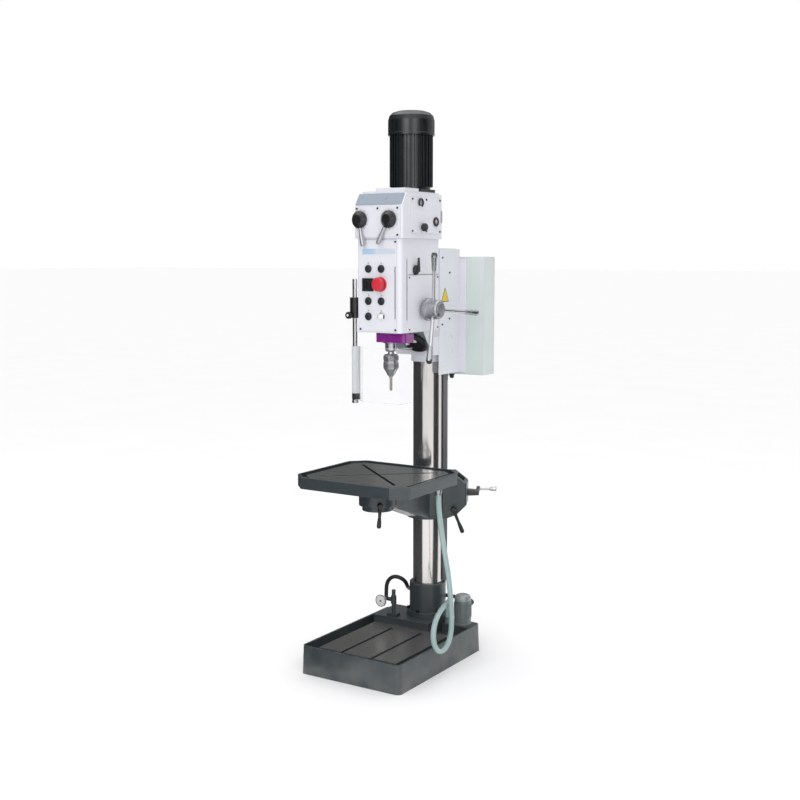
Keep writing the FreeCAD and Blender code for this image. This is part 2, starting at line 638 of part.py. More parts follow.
def make_upper_panel():
    return block("-box_half + 8", "box_half - 8", "box_front - panel_thickness", "box_front", "head_top + 6",
                 "box_fold - 4")


def make_gearbox_cover():
    return block("box_half", "box_half + cover_thickness", "box_cover_front", "box_cover_back", "head_top + 22",
                 "box_top - 16")


def make_side_cover():
    plate = block("head_half", "head_half + cover_thickness", "head_front + 46", "head_back - 4",
                  "head_bottom + 4", "side_cover_top")
    return minus(plate, rod("feed_shaft_radius + 1", 20, ("head_half - 4", "hub_y", "hub_z"), "x"))


def screw(at, axis, radius=4):
    """Socket screw: a head standing on a face and a shank behind it."""
    body = turned([(0, -9), (radius * 0.55, -9), (radius * 0.55, 0), (radius, 0), (radius, 3.2),
                   (radius * 0.5, 3.2),
                   (radius * 0.5, 1.4), (0, 1.4)], at, axis)
    return body


FACE_FRONT = ((1, 0, 0), 90)
FACE_RIGHT = ((0, 1, 0), 90)


def make_screws():
    """Screws of the two front panels and the two side covers."""
    items = []
    for x, z in (("-box_half + 16", "box_fold - 12"), ("box_half - 22", "box_fold - 12"),
                 ("box_half - 22", "head_top + 14"), (0, "box_fold - 12")):
        items.append(screw((x, "box_front - panel_thickness", z), FACE_FRONT))
    for x, z in (("-head_half + 14", "head_bottom + 14"), ("head_half - head_corner - 6", "head_bottom + 14"),
                 ("head_half - head_corner - 6", "head_top - 14")):
        items.append(screw((x, "head_front - panel_thickness", z), FACE_FRONT))
    for y in ("box_cover_front + 8", "(box_cover_front + box_cover_back) / 2", "box_cover_back - 8"):
        for z in ("head_top + 31", "box_top - 25"):
            items.append(screw(("box_half + cover_thickness", y, z), FACE_RIGHT))
    for y in (-48, 180):
        for z in ("head_bottom + 14", "side_cover_top - 10"):
            items.append(screw(("head_half + cover_thickness", y, z), FACE_RIGHT, 3))
    return group(*items)


def make_lamp():
    """Round work lamp on the sloping face behind the quill."""
    profile = [(0, 0), ("lamp_radius - 6", 0), ("lamp_radius", 6), ("lamp_radius", 14), ("lamp_radius - 6", 18),
               (0, 18)]
    drop = size("head_bottom") - size("rear_bottom")
    slope = math.degrees(math.atan2(drop, size("head_back") - size("neck_front")))
    middle_y = "neck_front + (head_back - neck_front) * 0.42"
    middle_z = "head_bottom - (head_bottom - rear_bottom) * 0.42"
    return turned(profile, ("lamp_x", middle_y, middle_z), ((1, 0, 0), 180 - slope))


# ---- spindle ----

def make_quill():
    inner = "(quill_radius - quill_wall)"
    return turned([(inner, "collar_low"), ("quill_radius", "collar_low"), ("quill_radius", "quill_top"),
                   (inner, "quill_top")], (0, "spindle_y", 0))


def make_collar():
    """Clamp block on the end of the quill that carries the depth rod."""
    body = doc.addObject("PartDesign::Body", "collar")
    top = "(head_bottom - 4)"
    pad(body, "XY_Plane", "collar_low + 4",
        [("-collar_left + 14", "-collar_depth / 2"), ("collar_right", "-collar_depth / 2"),
         ("collar_right", "collar_depth / 2"), ("-collar_left", "collar_depth / 2"),
         ("-collar_left", "-collar_depth / 2 + 14")], top + " - collar_low - 4")
    fillet(body, 16, lambda p, t: abs(t.z) > 0.9 and p.x > 80)
    put(body, (0, "spindle_y", 0))
    bore = rod("quill_radius", 80, (0, "spindle_y", "collar_low - 20"))
    stop = rod("depth_rod_radius", 80, ("depth_rod_x", "spindle_y", "collar_low - 20"))
    split = block("-collar_left - 2", 0, "spindle_y - 1.5", "spindle_y + 1.5", "collar_low", "head_bottom")
    return minus(body, bore, stop, split)


def make_depth_rod():
    bar = rod("depth_rod_radius", "depth_rod_top - collar_low + 6",
              ("depth_rod_x", "spindle_y", "collar_low - 6"))
    nut = rod("depth_rod_radius + 5", 10, ("depth_rod_x", "spindle_y", "collar_low - 6"))
    finger = block("depth_rod_x - 1.5", "depth_rod_x + 1.5", "head_front - panel_thickness - 3", "spindle_y",
                   "depth_rod_top - 12", "depth_rod_top - 6")
    return join(bar, nut, finger)


def make_bearings():
    rings = []
    for z in ("collar_low + 14", "quill_top - 34"):
        ring = rod("quill_radius - quill_wall", 16, (0, "spindle_y", z))
        rings.append(minus(ring, rod("spindle_radius", 18, (0, "spindle_y", z + " - 1"))))
    return group(*rings)


def make_spindle():
    return turned([(0, "nose_bottom"), ("nose_radius - 5", "nose_bottom"), ("nose_radius", "nose_bottom + 6"),
                   ("nose_radius", "collar_low - 1"), ("spindle_radius", "collar_low - 1"),
                   ("spindle_radius", "spindle_top"), (0, "spindle_top")], (0, "spindle_y", 0))


def make_chuck():
    r = "chuck_radius"
    low, high = "chuck_bottom", "nose_bottom"
    profile = [(0, low + " + 20"), (9, low + " + 20"), (9, low), (14, low), (r + " - 4", low + " + 26"),
               (r, low + " + 30"), (r, low + " + 58"), (r + " - 2", low + " + 60"), (r + " - 2", low + " + 64"),
               (r, low + " + 66"), (r, high + " - 20"), (r + " - 6", high + " - 12"), (14, high + " - 10"),
               (12, high), (0, high)]
    return turned(profile, (0, "spindle_y", 0))


def make_jaws():
    jaws = []
    for i in range(3):
        jaw = block("drill_radius", 9, -2.5, 2.5, "chuck_bottom - 8", "chuck_bottom + 20")
        jaws.append(turned_about(jaw, (0, 0, 0), (0, 0, 1), 120 * i))
    body = group(*jaws)
    return put(body, (0, "spindle_y", 0))


def make_drill():
    """Twist drill with two straight clearance flutes."""
    body = turned([(0, "drill_tip"), ("drill_radius", "drill_tip + 4"), ("drill_radius", "chuck_bottom + 18"),
                   (0, "chuck_bottom + 18")], (0, "spindle_y", 0))
    flutes = [rod(2.2, "chuck_bottom - drill_tip - 14", (x, "spindle_y", "drill_tip - 1"))
              for x in ("-drill_radius", "drill_radius")]
    return minus(body, *flutes)


# ---- gears and motor ----

def gear(radius, width, at):
    """Spur gear blank whose teeth end just inside the pitch circle."""
    teeth = 24
    wheel = rod(radius + " - mesh_gap", width, at)
    gaps = []
    for i in range(teeth):
        angle = 360.0 * i / teeth
        reach = "(%s) * cos(%s deg)" % (radius, angle)
        side = "(%s) * sin(%s deg)" % (radius, angle)
        x = "%s + %s" % (at[0], reach)
        y = "%s + %s" % (at[1], side)
        gaps.append(rod("(%s) * 0.055" % radius, "(%s) + 2" % width, (x, y, at[2] + " - 1")))
    return minus(wheel, *gaps)


def make_motor_shaft():
    shaft = rod("motor_shaft_radius", "motor_body_top + 46 - (box_top - 96)", (0, "motor_y", "box_top - 96"))
    rotor = rod("motor_core - 30", 150, (0, "motor_y", "box_top + 60"))
    pinion = gear("motor_pinion", "gear_width + 4", ("0", "motor_y", "box_top - 92"))
    return join(shaft, rotor, make_fan(), pinion)


def make_fan():
    hub = minus(rod(24, 24, (0, "motor_y", "motor_body_top + 18")),
                rod("motor_shaft_radius", 26, (0, "motor_y", "motor_body_top + 17")))
    blades = []
    for i in range(8):
        blade = block(20, "fan_cover_radius - 22", -1.5, 1.5, 20, 42)
        blades.append(turned_about(blade, (0, 0, 0), (0, 0, 1), 45 * i))
    return join(hub, put(group(*blades), (0, "motor_y", "motor_body_top")))


def make_idler():
    """Two gears on one shaft between the motor pinion and the spindle wheel."""
    at = ("idler_x", "idler_y")
    wheel = gear("idler_wheel", "gear_width", at + ("box_top - 90",))
    pinion = gear("idler_pinion", "gear_width + 4", at + ("box_top - 174",))
    shaft = rod(10, 160, at + ("box_top - 177",))
    return join(wheel, pinion, shaft)


def make_spindle_wheel():
    """Wheel on a sleeve; the spindle slides through it on its splines."""
    at = ("0", "spindle_y")
    bore = rod("spindle_radius + slide_gap", 90, (0, "spindle_y", "box_top - 180"))
    sleeve = rod("spindle_radius + 8", 66, (0, "spindle_y", "box_top - 176"))
    return minus(join(gear("spindle_wheel", "gear_width", at + ("box_top - 172",)), sleeve), bore)


def make_motor_flange():
    foot = doc.addObject("PartDesign::Body", "foot")
    start = "box_top + lid_thickness"
    pad(foot, "XY_Plane", start, rectangle("-motor_foot_half", "motor_foot_half", "-motor_foot_half * 0.94",
                                           "motor_foot_half * 0.62"), "motor_foot")
    fillet(foot, 16, lambda p, t: abs(t.z) > 0.9)
    put(foot, (0, "motor_y", 0))
    return minus(foot, rod("motor_core - 22", "motor_foot + 2", (0, "motor_y", start + " - 1")))


def make_motor_body():
    """Ribbed motor housing: a tube with cooling fins all round."""
    low, high = "(box_top + lid_thickness + motor_foot)", "motor_body_top"
    tube = turned([("motor_core - motor_wall", low), ("motor_core", low), ("motor_core", high),
                   ("motor_core - motor_wall", high)], (0, "motor_y", 0))
    fins = []
    for i in range(30):
        fin = block("motor_core - 2", "motor_fin", -1.7, 1.7, low + " + 12", high + " - 6")
        fins.append(turned_about(fin, (0, 0, 0), (0, 0, 1), 12 * i))
    return join(tube, put(group(*fins), (0, "motor_y", 0)))


def make_fan_cover():
    r = "fan_cover_radius"
    low, top = "(motor_body_top - 6)", "motor_top"
    profile = [("motor_core", low), (r + " + 1", low), (r + " + 1", low + " + 8"), (r, low + " + 10"),
               (r, top + " - 40"), (r + " * 0.95", top + " - 22"), (r + " * 0.82", top + " - 9"),
               (r + " * 0.6", top + " - 2"), (r + " * 0.4", top), (0, top), (0, top + " - 3"),
               (r + " * 0.6 - 1", top + " - 5"), (r + " * 0.82 - 2", top + " - 12"),
               (r + " * 0.95 - 3", top + " - 25"), (r + " - 3", top + " - 42"), (r + " - 3", low + " + 4"),
               ("motor_core", low + " + 4")]
    return turned(profile, (0, "motor_y", 0))


# ---- feed hub ----

def make_feed_shaft():
    shaft = rod("feed_shaft_radius", "hub_inner + 34 + 22", (-22, "hub_y", "hub_z"), "x")
    wheel = rod(FEED_WHEEL, 26, (-13, "hub_y", "hub_z"), "x")
    return join(shaft, wheel)


def make_hub():
    """Bright drum with a dial rim; its bore sits on the feed shaft."""
    r = "hub_radius"
    body = turned([(0, 0), (r + " - 6", 0), (r, 5), (r, 18), (r + " - 5", 22), (r + " - 8", "hub_length - 6"),
                   (r + " - 12", "hub_length"), (0, "hub_length")], ("hub_inner", "hub_y", "hub_z"), FACE_RIGHT)
    return minus(body, rod("feed_shaft_radius", 35, ("hub_inner - 1", "hub_y", "hub_z"), "x"),
                 *[spoke_piece(rod("spoke_radius", 60, (0, 0, 0)), i) for i in range(3)])


def spoke_piece(thing, index):
    """Stands a piece drawn along +z at the hub centre, leaning outward, on one of three spoke places."""
    holder = doc.addObject("Part::Compound", "spoke")
    holder.Links = [thing]
    lean = Rotation(Vector(0, 1, 0), size("spoke_lean"))
    spin = Rotation(Vector(1, 0, 0), 120 * index - 120 + size("wheel_turn"))
    centre = Vector(size("hub_inner") + size("hub_length") * 0.5, size("hub_y"), size("hub_z"))
    holder.Placement = Placement(centre, spin.multiply(lean))
    return holder


def make_spokes():
    pieces = [spoke_piece(rod("spoke_radius", "spoke_length - 40 - (hub_radius - 28)",
                              (0, 0, "hub_radius - 28")), i)
              for i in range(3)]
    return group(*pieces)


def make_grips():
    start = "(spoke_length - grip_length)"
    profile = [("spoke_radius", start), ("spoke_radius + 2", start),
               ("grip_radius - 3", start + " + grip_length * 0.4"),
               ("grip_radius", "spoke_length - 8"), ("grip_radius - 3", "spoke_length"), (0, "spoke_length"),
               (0, "spoke_length - 40"), ("spoke_radius", "spoke_length - 40")]
    return group(*[spoke_piece(turned(profile), i) for i in range(3)])


# ---- controls ----

def make_selector(x, lean):
    """Moulded dial with a fuller-ended lever standing out of its rim."""
    profile = [(0, 0), ("dial_radius - 4", 0), ("dial_radius", 4), ("dial_radius", 10), ("dial_radius - 6", 16),
               ("dial_radius - 16", "dial_depth"), (0, "dial_depth")]
    dial = turned(profile, (x, "box_front - panel_thickness", "dial_z"), FACE_FRONT)
    rim = "(-dial_radius / 2)"
    lever = turned([(0, "-dial_lever"), (7, "-dial_lever"), (10, "-dial_lever + 7"), (10, "-dial_lever * 0.8"),
                    (7.5, "-dial_lever * 0.5"), (5.5, "-dial_lever * 0.25"), (5.5, rim), (0, rim)],
                   (x, "box_front - panel_thickness - 12", "dial_z"), ((0, 1, 0), lean))
    return join(dial, lever)


def make_feed_selector():
    """Moulded lever under the gearbox on the right side."""
    foot = turned([(0, 0.4), (20, 0.4), (20, 8), (14, 14), (0, 14)], 
                  ("head_half", "feed_selector_y", "feed_selector_z"), FACE_RIGHT)
    bar = cone(7, 4.5, 58, ("head_half + 14", "feed_selector_y + 6", "feed_selector_z - 7"))
    return join(foot, bar)


def make_side_knob():
    return turned([(0, 0), (8, 0), (8, 6), (17, 8), (17, 18), (13, 22), (0, 22)],
                  ("box_half + cover_thickness", "cover_knob_y", "cover_knob_z"), FACE_RIGHT)


BUTTONS = (("button_left", "button_row_1"), ("button_right", "button_row_1"), ("button_left", "button_row_2"),
           ("button_right", "button_row_2"), ("button_left", "button_row_3"))
PANEL_FACE = "head_front - panel_thickness"


def make_bezels():
    places = BUTTONS + (("button_right", "button_row_3"),)
    lens = turned([(0, 0), ("button_radius", 0), ("button_radius", 7), ("button_radius - 3", 10), (0, 10)],
                  ("button_right", PANEL_FACE, "button_row_3"), FACE_FRONT)
    return group(lens, *[turned([("button_radius + free_gap", 0), ("bezel_radius", 0), ("bezel_radius", 3),
                           ("bezel_radius - 2", 5), ("button_radius + free_gap", 5)], (x, PANEL_FACE,
                                                                                       z), FACE_FRONT)
                   for x, z in places])


def make_button(x, z):
    return turned([(0, 3.5), ("button_radius", 3.5), ("button_radius", 9), ("button_radius - 2", 11), (0, 11)],
                  (x, PANEL_FACE, z), FACE_FRONT)


def make_switch_plate():
    return block(-81, -27, PANEL_FACE + " - 6", PANEL_FACE, "switch_row - 27", "switch_row + 27")


def make_switch_knob():
    foot = turned([(0, 0), (19, 0), (17, 8), (0, 8)], (-54, PANEL_FACE + " - 6", "switch_row"), FACE_FRONT)
    wing = block(-58, -50, PANEL_FACE + " - 24", PANEL_FACE + " - 13", "switch_row - 17", "switch_row + 17")
    return join(foot, wing)


def make_stop_base():
    return turned([(0, 0), (21, 0), (21, 6), (0, 6)], (8, PANEL_FACE, "switch_row + 2"), FACE_FRONT)


def make_stop_button():
    return turned([(0, 12), (12, 12), (13, 16), (28, 18), (29, 25), (24, 32), (0, 35)],
                  (8, PANEL_FACE, "switch_row + 2"), FACE_FRONT)


# ---- chip guard ----

def make_guard_bracket():
    """Black sleeve for the guard rod with an arm back to the side of the head."""
    axis = ("guard_x", "guard_y", "guard_sleeve_low")
    sleeve = rod("guard_sleeve_radius", "guard_sleeve_high - guard_sleeve_low", axis)
    arm = block("guard_x", "-head_half", "guard_y + 2", "guard_y + 30", "guard_sleeve_low + 10",
                "guard_sleeve_high - 10")
    foot = block("-head_half - 6", "-head_half", "guard_y + 32 - 8", "guard_y + 70", "guard_sleeve_low + 4",
                 "guard_sleeve_high - 4")
    bore = rod("guard_rod_radius + slide_gap", 120, ("guard_x", "guard_y", "guard_sleeve_low - 10"))
    stud = rod(4.3, 14, ("guard_x - 5", "guard_y - guard_sleeve_radius - 2", "guard_sleeve_low + 12"), "y")
    return minus(join(sleeve, arm, foot), bore, stud)


def make_guard_knob():
    return turned([(0, -9), (4, -9), (4, 0), (6, 0), (6, 8), (15, 10), (15, 22), (12, 26), (0, 26)],
                  ("guard_x - 5", "guard_y - guard_sleeve_radius - 0.4", "guard_sleeve_low + 12"), FACE_FRONT)


def make_guard_rod():
    return rod("guard_rod_radius", "guard_top - guard_low", ("guard_x", "guard_y", "guard_low"))


def make_guard_post():
    """Channel that turns on the rod and holds the edge of the shield."""
    tube = rod("guard_rod_radius + 4", "shield_top - shield_bottom - 4",
               ("guard_x", "guard_y", "shield_bottom + 2"))
    lip = block("guard_x + 8", "guard_x + 22", "guard_y - 6", "guard_y + 6", "shield_bottom + 2",
                "shield_top - 2")
    bore = rod("guard_rod_radius + slide_gap", 260, ("guard_x", "guard_y", "shield_bottom - 8"))
    return minus(join(tube, lip), bore)


def make_guard_cap():
    return minus(rod("guard_rod_radius + 4", 12, ("guard_x", "guard_y", "guard_low - 4")),
                 rod("guard_rod_radius", 20, ("guard_x", "guard_y", "guard_low")))


def shield_outline():
    """Plan of the bent clear sheet, outside then inside, from the post round the front."""
    outer = [(-126, -97), (-107, -97), (-61, -142), (120, -142), (128, -52)]
    inner = [(125, -52), (117.3, -139), (-59.8, -139), (-105.8, -94), (-126, -94)]
    return outer + inner


def make_shield():
    body = doc.addObject("PartDesign::Body", "shield")
    pad(body, "XY_Plane", "shield_bottom", shield_outline(), "shield_top - shield_bottom")
    return body


# ---- electrical cabinet ----

def make_cabinet_bracket():
    side = "rear_half"
    plate = block(side, side + " + 4", "head_back + 22", "cabinet_front - sheet_metal", "cabinet_low + 10",
                  "rear_top - 2")
    flange = block(side + " - 40", side + " + 40", "cabinet_front - 4", "cabinet_front", "cabinet_low + 10",
                   "cabinet_high - 10")
    return join(plate, flange)


def make_bracket_screws():
    places = ((302, 1695), (302, 1493), (240, 1470), (240, 1760))
    return group(*[screw(("rear_half + 4", y, z), FACE_RIGHT) for y, z in places])


def make_cabinet():
    """Sheet-metal box open towards the back, where its door closes it."""
    back = "cabinet_front + cabinet_depth - door_depth"
    shell = block("cabinet_left", "cabinet_right", "cabinet_front", back, "cabinet_low", "cabinet_high")
    room = block("cabinet_left + sheet_metal", "cabinet_right - sheet_metal", "cabinet_front + sheet_metal",
                 back + " + 1",
                 "cabinet_low + sheet_metal", "cabinet_high - sheet_metal")
    return minus(shell, room)


def make_cabinet_door():
    """Shallow pan that covers the back of the cabinet."""
    front, back = "cabinet_front + cabinet_depth - door_depth + 1", "cabinet_front + cabinet_depth"
    shell = block("cabinet_left", "cabinet_right", front, back, "cabinet_low", "cabinet_high")
    room = block("cabinet_left + sheet_metal", "cabinet_right - sheet_metal", front + " - 1",
                 back + " - sheet_metal",
                 "cabinet_low + sheet_metal", "cabinet_high - sheet_metal")
    return minus(shell, room)


def make_cabinet_plate():
    """Mounting plate inside the cabinet with its contactors and rail."""
    y = "cabinet_front + sheet_metal + 8"
    plate = block("cabinet_left + 25", "cabinet_right - 25", y, y + " + 2", "cabinet_low + 30",
                  "cabinet_high - 30")
    parts = [plate]
    for i in range(4):
        x = "cabinet_left + %d" % (45 + 62 * i)
        parts.append(block(x, x + " + 48", y + " + 2", y + " + 60", "cabinet_high - 190", "cabinet_high - 110"))
    parts.append(block("cabinet_left + 60", "cabinet_right - 90", y + " + 2", y + " + 62", "cabinet_low + 60",
                       "cabinet_low + 150"))
    feet = [block("cabinet_left + %d" % x, "cabinet_left + %d" % (x + 16), "cabinet_front + sheet_metal", y,
                  "cabinet_low + %d" % z, "cabinet_low + %d" % (z + 16)) for x in (40, 270) for z in (60, 440)]
    return join(*(parts + feet))


# ---- coolant ----

def make_pump():
    r = "pump_radius"
    z = "base_height"
    return turned([(0, z), (r + " + 3", z), (r + " + 3", z + " + 8"), (r, z + " + 10"),
                   (r, z + " + pump_height - 26"),
                   (0, z + " + pump_height - 26")], ("pump_x", "pump_y", 0))


def make_pump_cap():
    r = "pump_radius"
    z = "(base_height + pump_height - 26)"
    return turned([(0, z), (r + " - 1", z), (r + " - 1", z + " + 12"), (r + " - 7", z + " + 22"),
                   (r + " - 16", z + " + 26"), (0, z + " + 26")], ("pump_x", "pump_y", 0))


def make_pump_elbow():
    """Outlet at the back of the pump."""
    z = "base_height + pump_outlet"
    return minus(rod("coolant_hose_radius", "pump_radius + 22", ("pump_x", "pump_y", z), "y"),
                 rod("pump_radius", 40, ("pump_x", "pump_y", "base_height + 50")))


def make_stand():
    """Post and valve body of the coolant tap on the rear platform."""
    foot = block("stand_x - 24", "stand_x + 24", "stand_y - 18", "stand_y + 18", "platform_height",
                 "platform_height + 12")
    post = rod(9, "stand_top - platform_height - 12", ("stand_x", "stand_y", "platform_height + 12"))
    body = rod(13, 36, ("stand_x", "stand_y", "stand_top - 64"))
    pipe = rod(9, 48, ("stand_x - stand_reach", "stand_y", "stand_top - 46"), "x")
    stub = rod(7, 37, ("stand_x - stand_reach", "stand_y - 36", "stand_top - 46"), "y")
    outlet = rod("coolant_hose_radius", 18, ("stand_x - stand_reach", "stand_y", "stand_top - 46"))
    return join(foot, post, body, pipe, stub, outlet)


def make_stand_knob():
    return turned([(0, 0), (24, 0), (27, 4), (27, 8), (24, 11), (0, 11)],
                  ("stand_x - stand_reach", "stand_y - 36.4", "stand_top - 46"), FACE_FRONT)


def make_drain_fitting():
    """Chrome nipple under the table channel."""
    top = "(table_top - table_rim)"
    body = turned([(6, top + " - 30"), ("drain_hose_radius", top + " - 30"),
                   ("drain_hose_radius", top + " - 22"),
                   (13, top + " - 22"), (15, top + " - 16"), (15, top + " - 4"), (12, top), (6, top)],
                  ("drain_x", "drain_y", 0))
    return body


def make_sump_fitting():
    """Short socket on the pump seat where the drain hose goes back into the tank."""
    return turned([(6, 0), ("drain_hose_radius + 3", 0), ("drain_hose_radius + 3", 14),
                   ("drain_hose_radius", 18),
                   ("drain_hose_radius", 30), (6, 30)], ("sump_x", "sump_y", "base_height"))


def hose(name, radius, route, start, end):
    """Round hose of straight runs joined by tangent arcs, each as large as its two runs allow.

    The two ends stay on their fittings, and the points between share out any move of the fittings.
    """
    near = Vector(*[value_of(c) for c in start]) - Vector(*route[0])
    far = Vector(*[value_of(c) for c in end]) - Vector(*route[-1])
    runs = len(route) - 1
    points = [Vector(*p) + near * ((runs - i) / runs) + far * (i / runs) for i, p in enumerate(route)]
    edges = []
    radii = []
    last = points[0]
    for before, here, after in zip(points, points[1:], points[2:]):
        arrive, leave = here - before, after - here
        turn = arrive.getAngle(leave)
        trim = 0.45 * min(arrive.Length, leave.Length)
        radii.append(trim / math.tan(turn / 2))
        start = here - arrive.normalize() * trim
        end = here + leave.normalize() * trim
        bulge = (leave - arrive).normalize() * radii[-1] * (1 / math.cos(turn / 2) - 1)
        edges.append(Part.LineSegment(last, start).toShape())
        edges.append(Part.Arc(start, here + bulge, end).toShape())
        last = end
    edges.append(Part.LineSegment(last, points[-1]).toShape())
    path = Part.Wire(edges)
    ring = Part.Wire(Part.Circle(points[0], points[1] - points[0], radius).toShape())
    tube = path.makePipeShell([ring], True, True)
    piece = doc.addObject("Part::Feature", name)
    piece.Shape = tube
    print("%s: length %.1f, least radius %.1f (%.1f diameters), volume %.4f of section x length" % (
        name, path.Length, min(radii), min(radii) / (2 * radius),
        tube.Volume / (math.pi * radius ** 2 * path.Length)))
    return piece


DRAIN_ROUTE = [(257, -50, 776), (257, -50, 734), (261, -46, 678), (266, -38, 612), (271, -25, 540),
               (275, -9, 470), (278, 5, 402), (279, 15, 336), (280, 20, 276), (281, 22, 222), (282, 16, 172),
               (284, -12, 130), (286, -58, 112), (287, -106, 126), (287, -137, 170), (285, -137, 220),
               (280, -108, 262), (272, -60, 284), (260, -4, 292), (247, 50, 291), (228, 102, 284),
               (204, 150, 274), (178, 191, 260), (150, 228, 242), (130, 254, 218), (124, 262, 186),
               (124, 262, 153)]
COOLANT_ROUTE = [(-152, 176, 234), (-152, 176, 262), (-149, 178, 290), (-133, 182, 314), (-109, 189, 323),
                 (-87, 202, 314), (-78, 221, 296), (-84, 243, 276), (-96, 270, 256), (-104, 304, 238),
                 (-102, 341, 223), (-86, 376, 211), (-56, 402, 204), (-18, 416, 200), (26, 421, 198),
                 (68, 424, 197), (106, 425, 197), (140, 420, 197), (168, 404, 197), (184, 378, 197),
                 (184, 350, 197)]


def make_drain_hose():
    nipple = ("drain_x", "drain_y", "table_top - table_rim - 30")
    sump = ("sump_x", "sump_y", "base_height + 30")
    return hose("drain_hose", size("drain_hose_radius"), DRAIN_ROUTE, nipple, sump)


def make_coolant_hose():
    tap = ("stand_x - stand_reach", "stand_y", "stand_top - 28")
    outlet = ("pump_x", "pump_y + pump_radius + 22", "base_height + pump_outlet")
    return hose("coolant_hose", size("coolant_hose_radius"), COOLANT_ROUTE, tap, outlet)


def gathered(*builders):
    return lambda: group(*[build() for build in builders])


RECIPES = {
    "base_casting": make_base, "column_foot": make_column_foot, "column_tube": make_column,
    "lift_rack": gathered(make_rack, make_rack_block), "machine_screws": gathered(make_foot_bolts, make_screws,
                                                                                 make_bracket_screws),
    "table": make_table, "table_pivot": make_table_pivot, "table_arm": make_arm, "lift_gear": make_lift_gear,
    "crank": gathered(make_crank_shaft, make_crank_arm), "crank_handle": make_crank_handle,
    "table_clamp": lambda: make_lever(92, *TABLE_CLAMP, -56),
    "column_clamp": lambda: about_column(make_lever(112, *COLUMN_CLAMP, -65)),
    "head_casting": make_head, "gearbox_housing": make_gearbox, "gearbox_lid": make_lid,
    "front_panels": gathered(make_lower_panel, make_upper_panel),
    "side_covers": gathered(make_gearbox_cover, make_side_cover), "work_lamp": make_lamp,
    "quill": gathered(make_quill, make_bearings), "quill_collar": make_collar, "depth_rod": make_depth_rod,
    "spindle": make_spindle, "chuck": gathered(make_chuck, make_jaws), "twist_drill": make_drill,
    "motor_rotor": make_motor_shaft, "idler_gears": make_idler, "spindle_wheel_gear": make_spindle_wheel,
    "motor_housing": gathered(make_motor_flange, make_motor_body), "fan_cover": make_fan_cover,
    "feed_shaft": make_feed_shaft, "feed_hub": make_hub, "feed_spokes": make_spokes, "feed_grips": make_grips,
    "selector_left": lambda: make_selector("dial_left_x", -11),
    "selector_right": lambda: make_selector("dial_right_x", 26),
    "feed_selector": make_feed_selector, "cover_knob": make_side_knob,
    "panel_bezels": gathered(make_bezels, make_stop_base, make_switch_plate), "switch_knob": make_switch_knob,
    "stop_button": make_stop_button,
    "guard_bracket": make_guard_bracket, "guard_knob": make_guard_knob,
    "guard_rod": gathered(make_guard_rod, make_guard_cap), "guard_post": make_guard_post,
    "guard_shield": make_shield, "cabinet_bracket": make_cabinet_bracket,
    "cabinet": gathered(make_cabinet, make_cabinet_plate), "cabinet_door": make_cabinet_door,
    "coolant_pump": gathered(make_pump, make_pump_cap, make_pump_elbow, make_sump_fitting),
    "coolant_stand": make_stand, "coolant_knob": make_stand_knob, "drain_fitting": make_drain_fitting,
    "drain_hose": make_drain_hose, "coolant_hose": make_coolant_hose,
}
for index, (x, z) in enumerate(BUTTONS, start=1):
    RECIPES["button_%d" % index] = lambda x=x, z=z: make_button(x, z)

for name, build in RECIPES.items():
    node(name, build())
doc.recompute()

for thing in doc.Objects:
    if "Invalid" in thing.State or "Error" in thing.State:
        raise RuntimeError("%s (%s) failed to recompute" % (thing.Label, thing.Name))
for name, thing in NODES.items():
    if thing.Shape.isNull() or not thing.Shape.isValid():
        raise RuntimeError("%s has no valid shape" % name)

os.makedirs("parts", exist_ok=True)
for name, thing in NODES.items():
    thing.Shape.exportStep("parts/%s.step" % name)
print("%d nodes written" % len(NODES))
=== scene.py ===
"""Finishes and fine pieces of a gear-head column drilling machine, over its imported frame."""
import math

import bmesh
import bpy
from bpy.props import FloatProperty, FloatVectorProperty, IntProperty, PointerProperty
from mathutils import Matrix, Vector


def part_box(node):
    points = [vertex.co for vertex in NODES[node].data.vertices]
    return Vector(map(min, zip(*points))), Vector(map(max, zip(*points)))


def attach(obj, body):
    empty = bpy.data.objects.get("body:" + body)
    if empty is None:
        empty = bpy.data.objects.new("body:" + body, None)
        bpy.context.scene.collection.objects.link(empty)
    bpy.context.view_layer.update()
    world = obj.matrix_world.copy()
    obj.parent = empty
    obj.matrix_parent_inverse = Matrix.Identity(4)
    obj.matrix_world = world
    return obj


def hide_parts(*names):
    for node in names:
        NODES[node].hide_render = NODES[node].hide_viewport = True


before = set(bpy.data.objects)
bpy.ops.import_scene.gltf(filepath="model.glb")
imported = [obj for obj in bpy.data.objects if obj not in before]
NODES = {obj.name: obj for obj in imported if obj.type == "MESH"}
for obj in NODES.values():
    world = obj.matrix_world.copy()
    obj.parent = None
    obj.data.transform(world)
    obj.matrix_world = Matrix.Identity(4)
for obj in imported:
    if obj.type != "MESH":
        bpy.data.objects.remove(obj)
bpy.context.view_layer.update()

bl_info = {
    "name": "Column drill finish",
    "version": (1, 0, 0),
    "blender": (4, 5, 0),
    "location": "View3D > Sidebar > Drill",
    "description": "Finishes, hoses and fine pieces of a column drilling machine",
    "category": "Object",
}

FRONT, RIGHT, UP, BACK, DOWN = (0, -1, 0), (1, 0, 0), (0, 0, 1), (0, 1, 0), (0, 0, -1)

# Faces that the fine pieces stand on, read from the frame, in metres.
PANEL_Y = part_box("panel_bezels")[1].y
UPPER_PANEL_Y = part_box("front_panels")[0].y
BOX_LOW, BOX_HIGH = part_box("gearbox_housing")
COVER_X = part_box("side_covers")[1].x

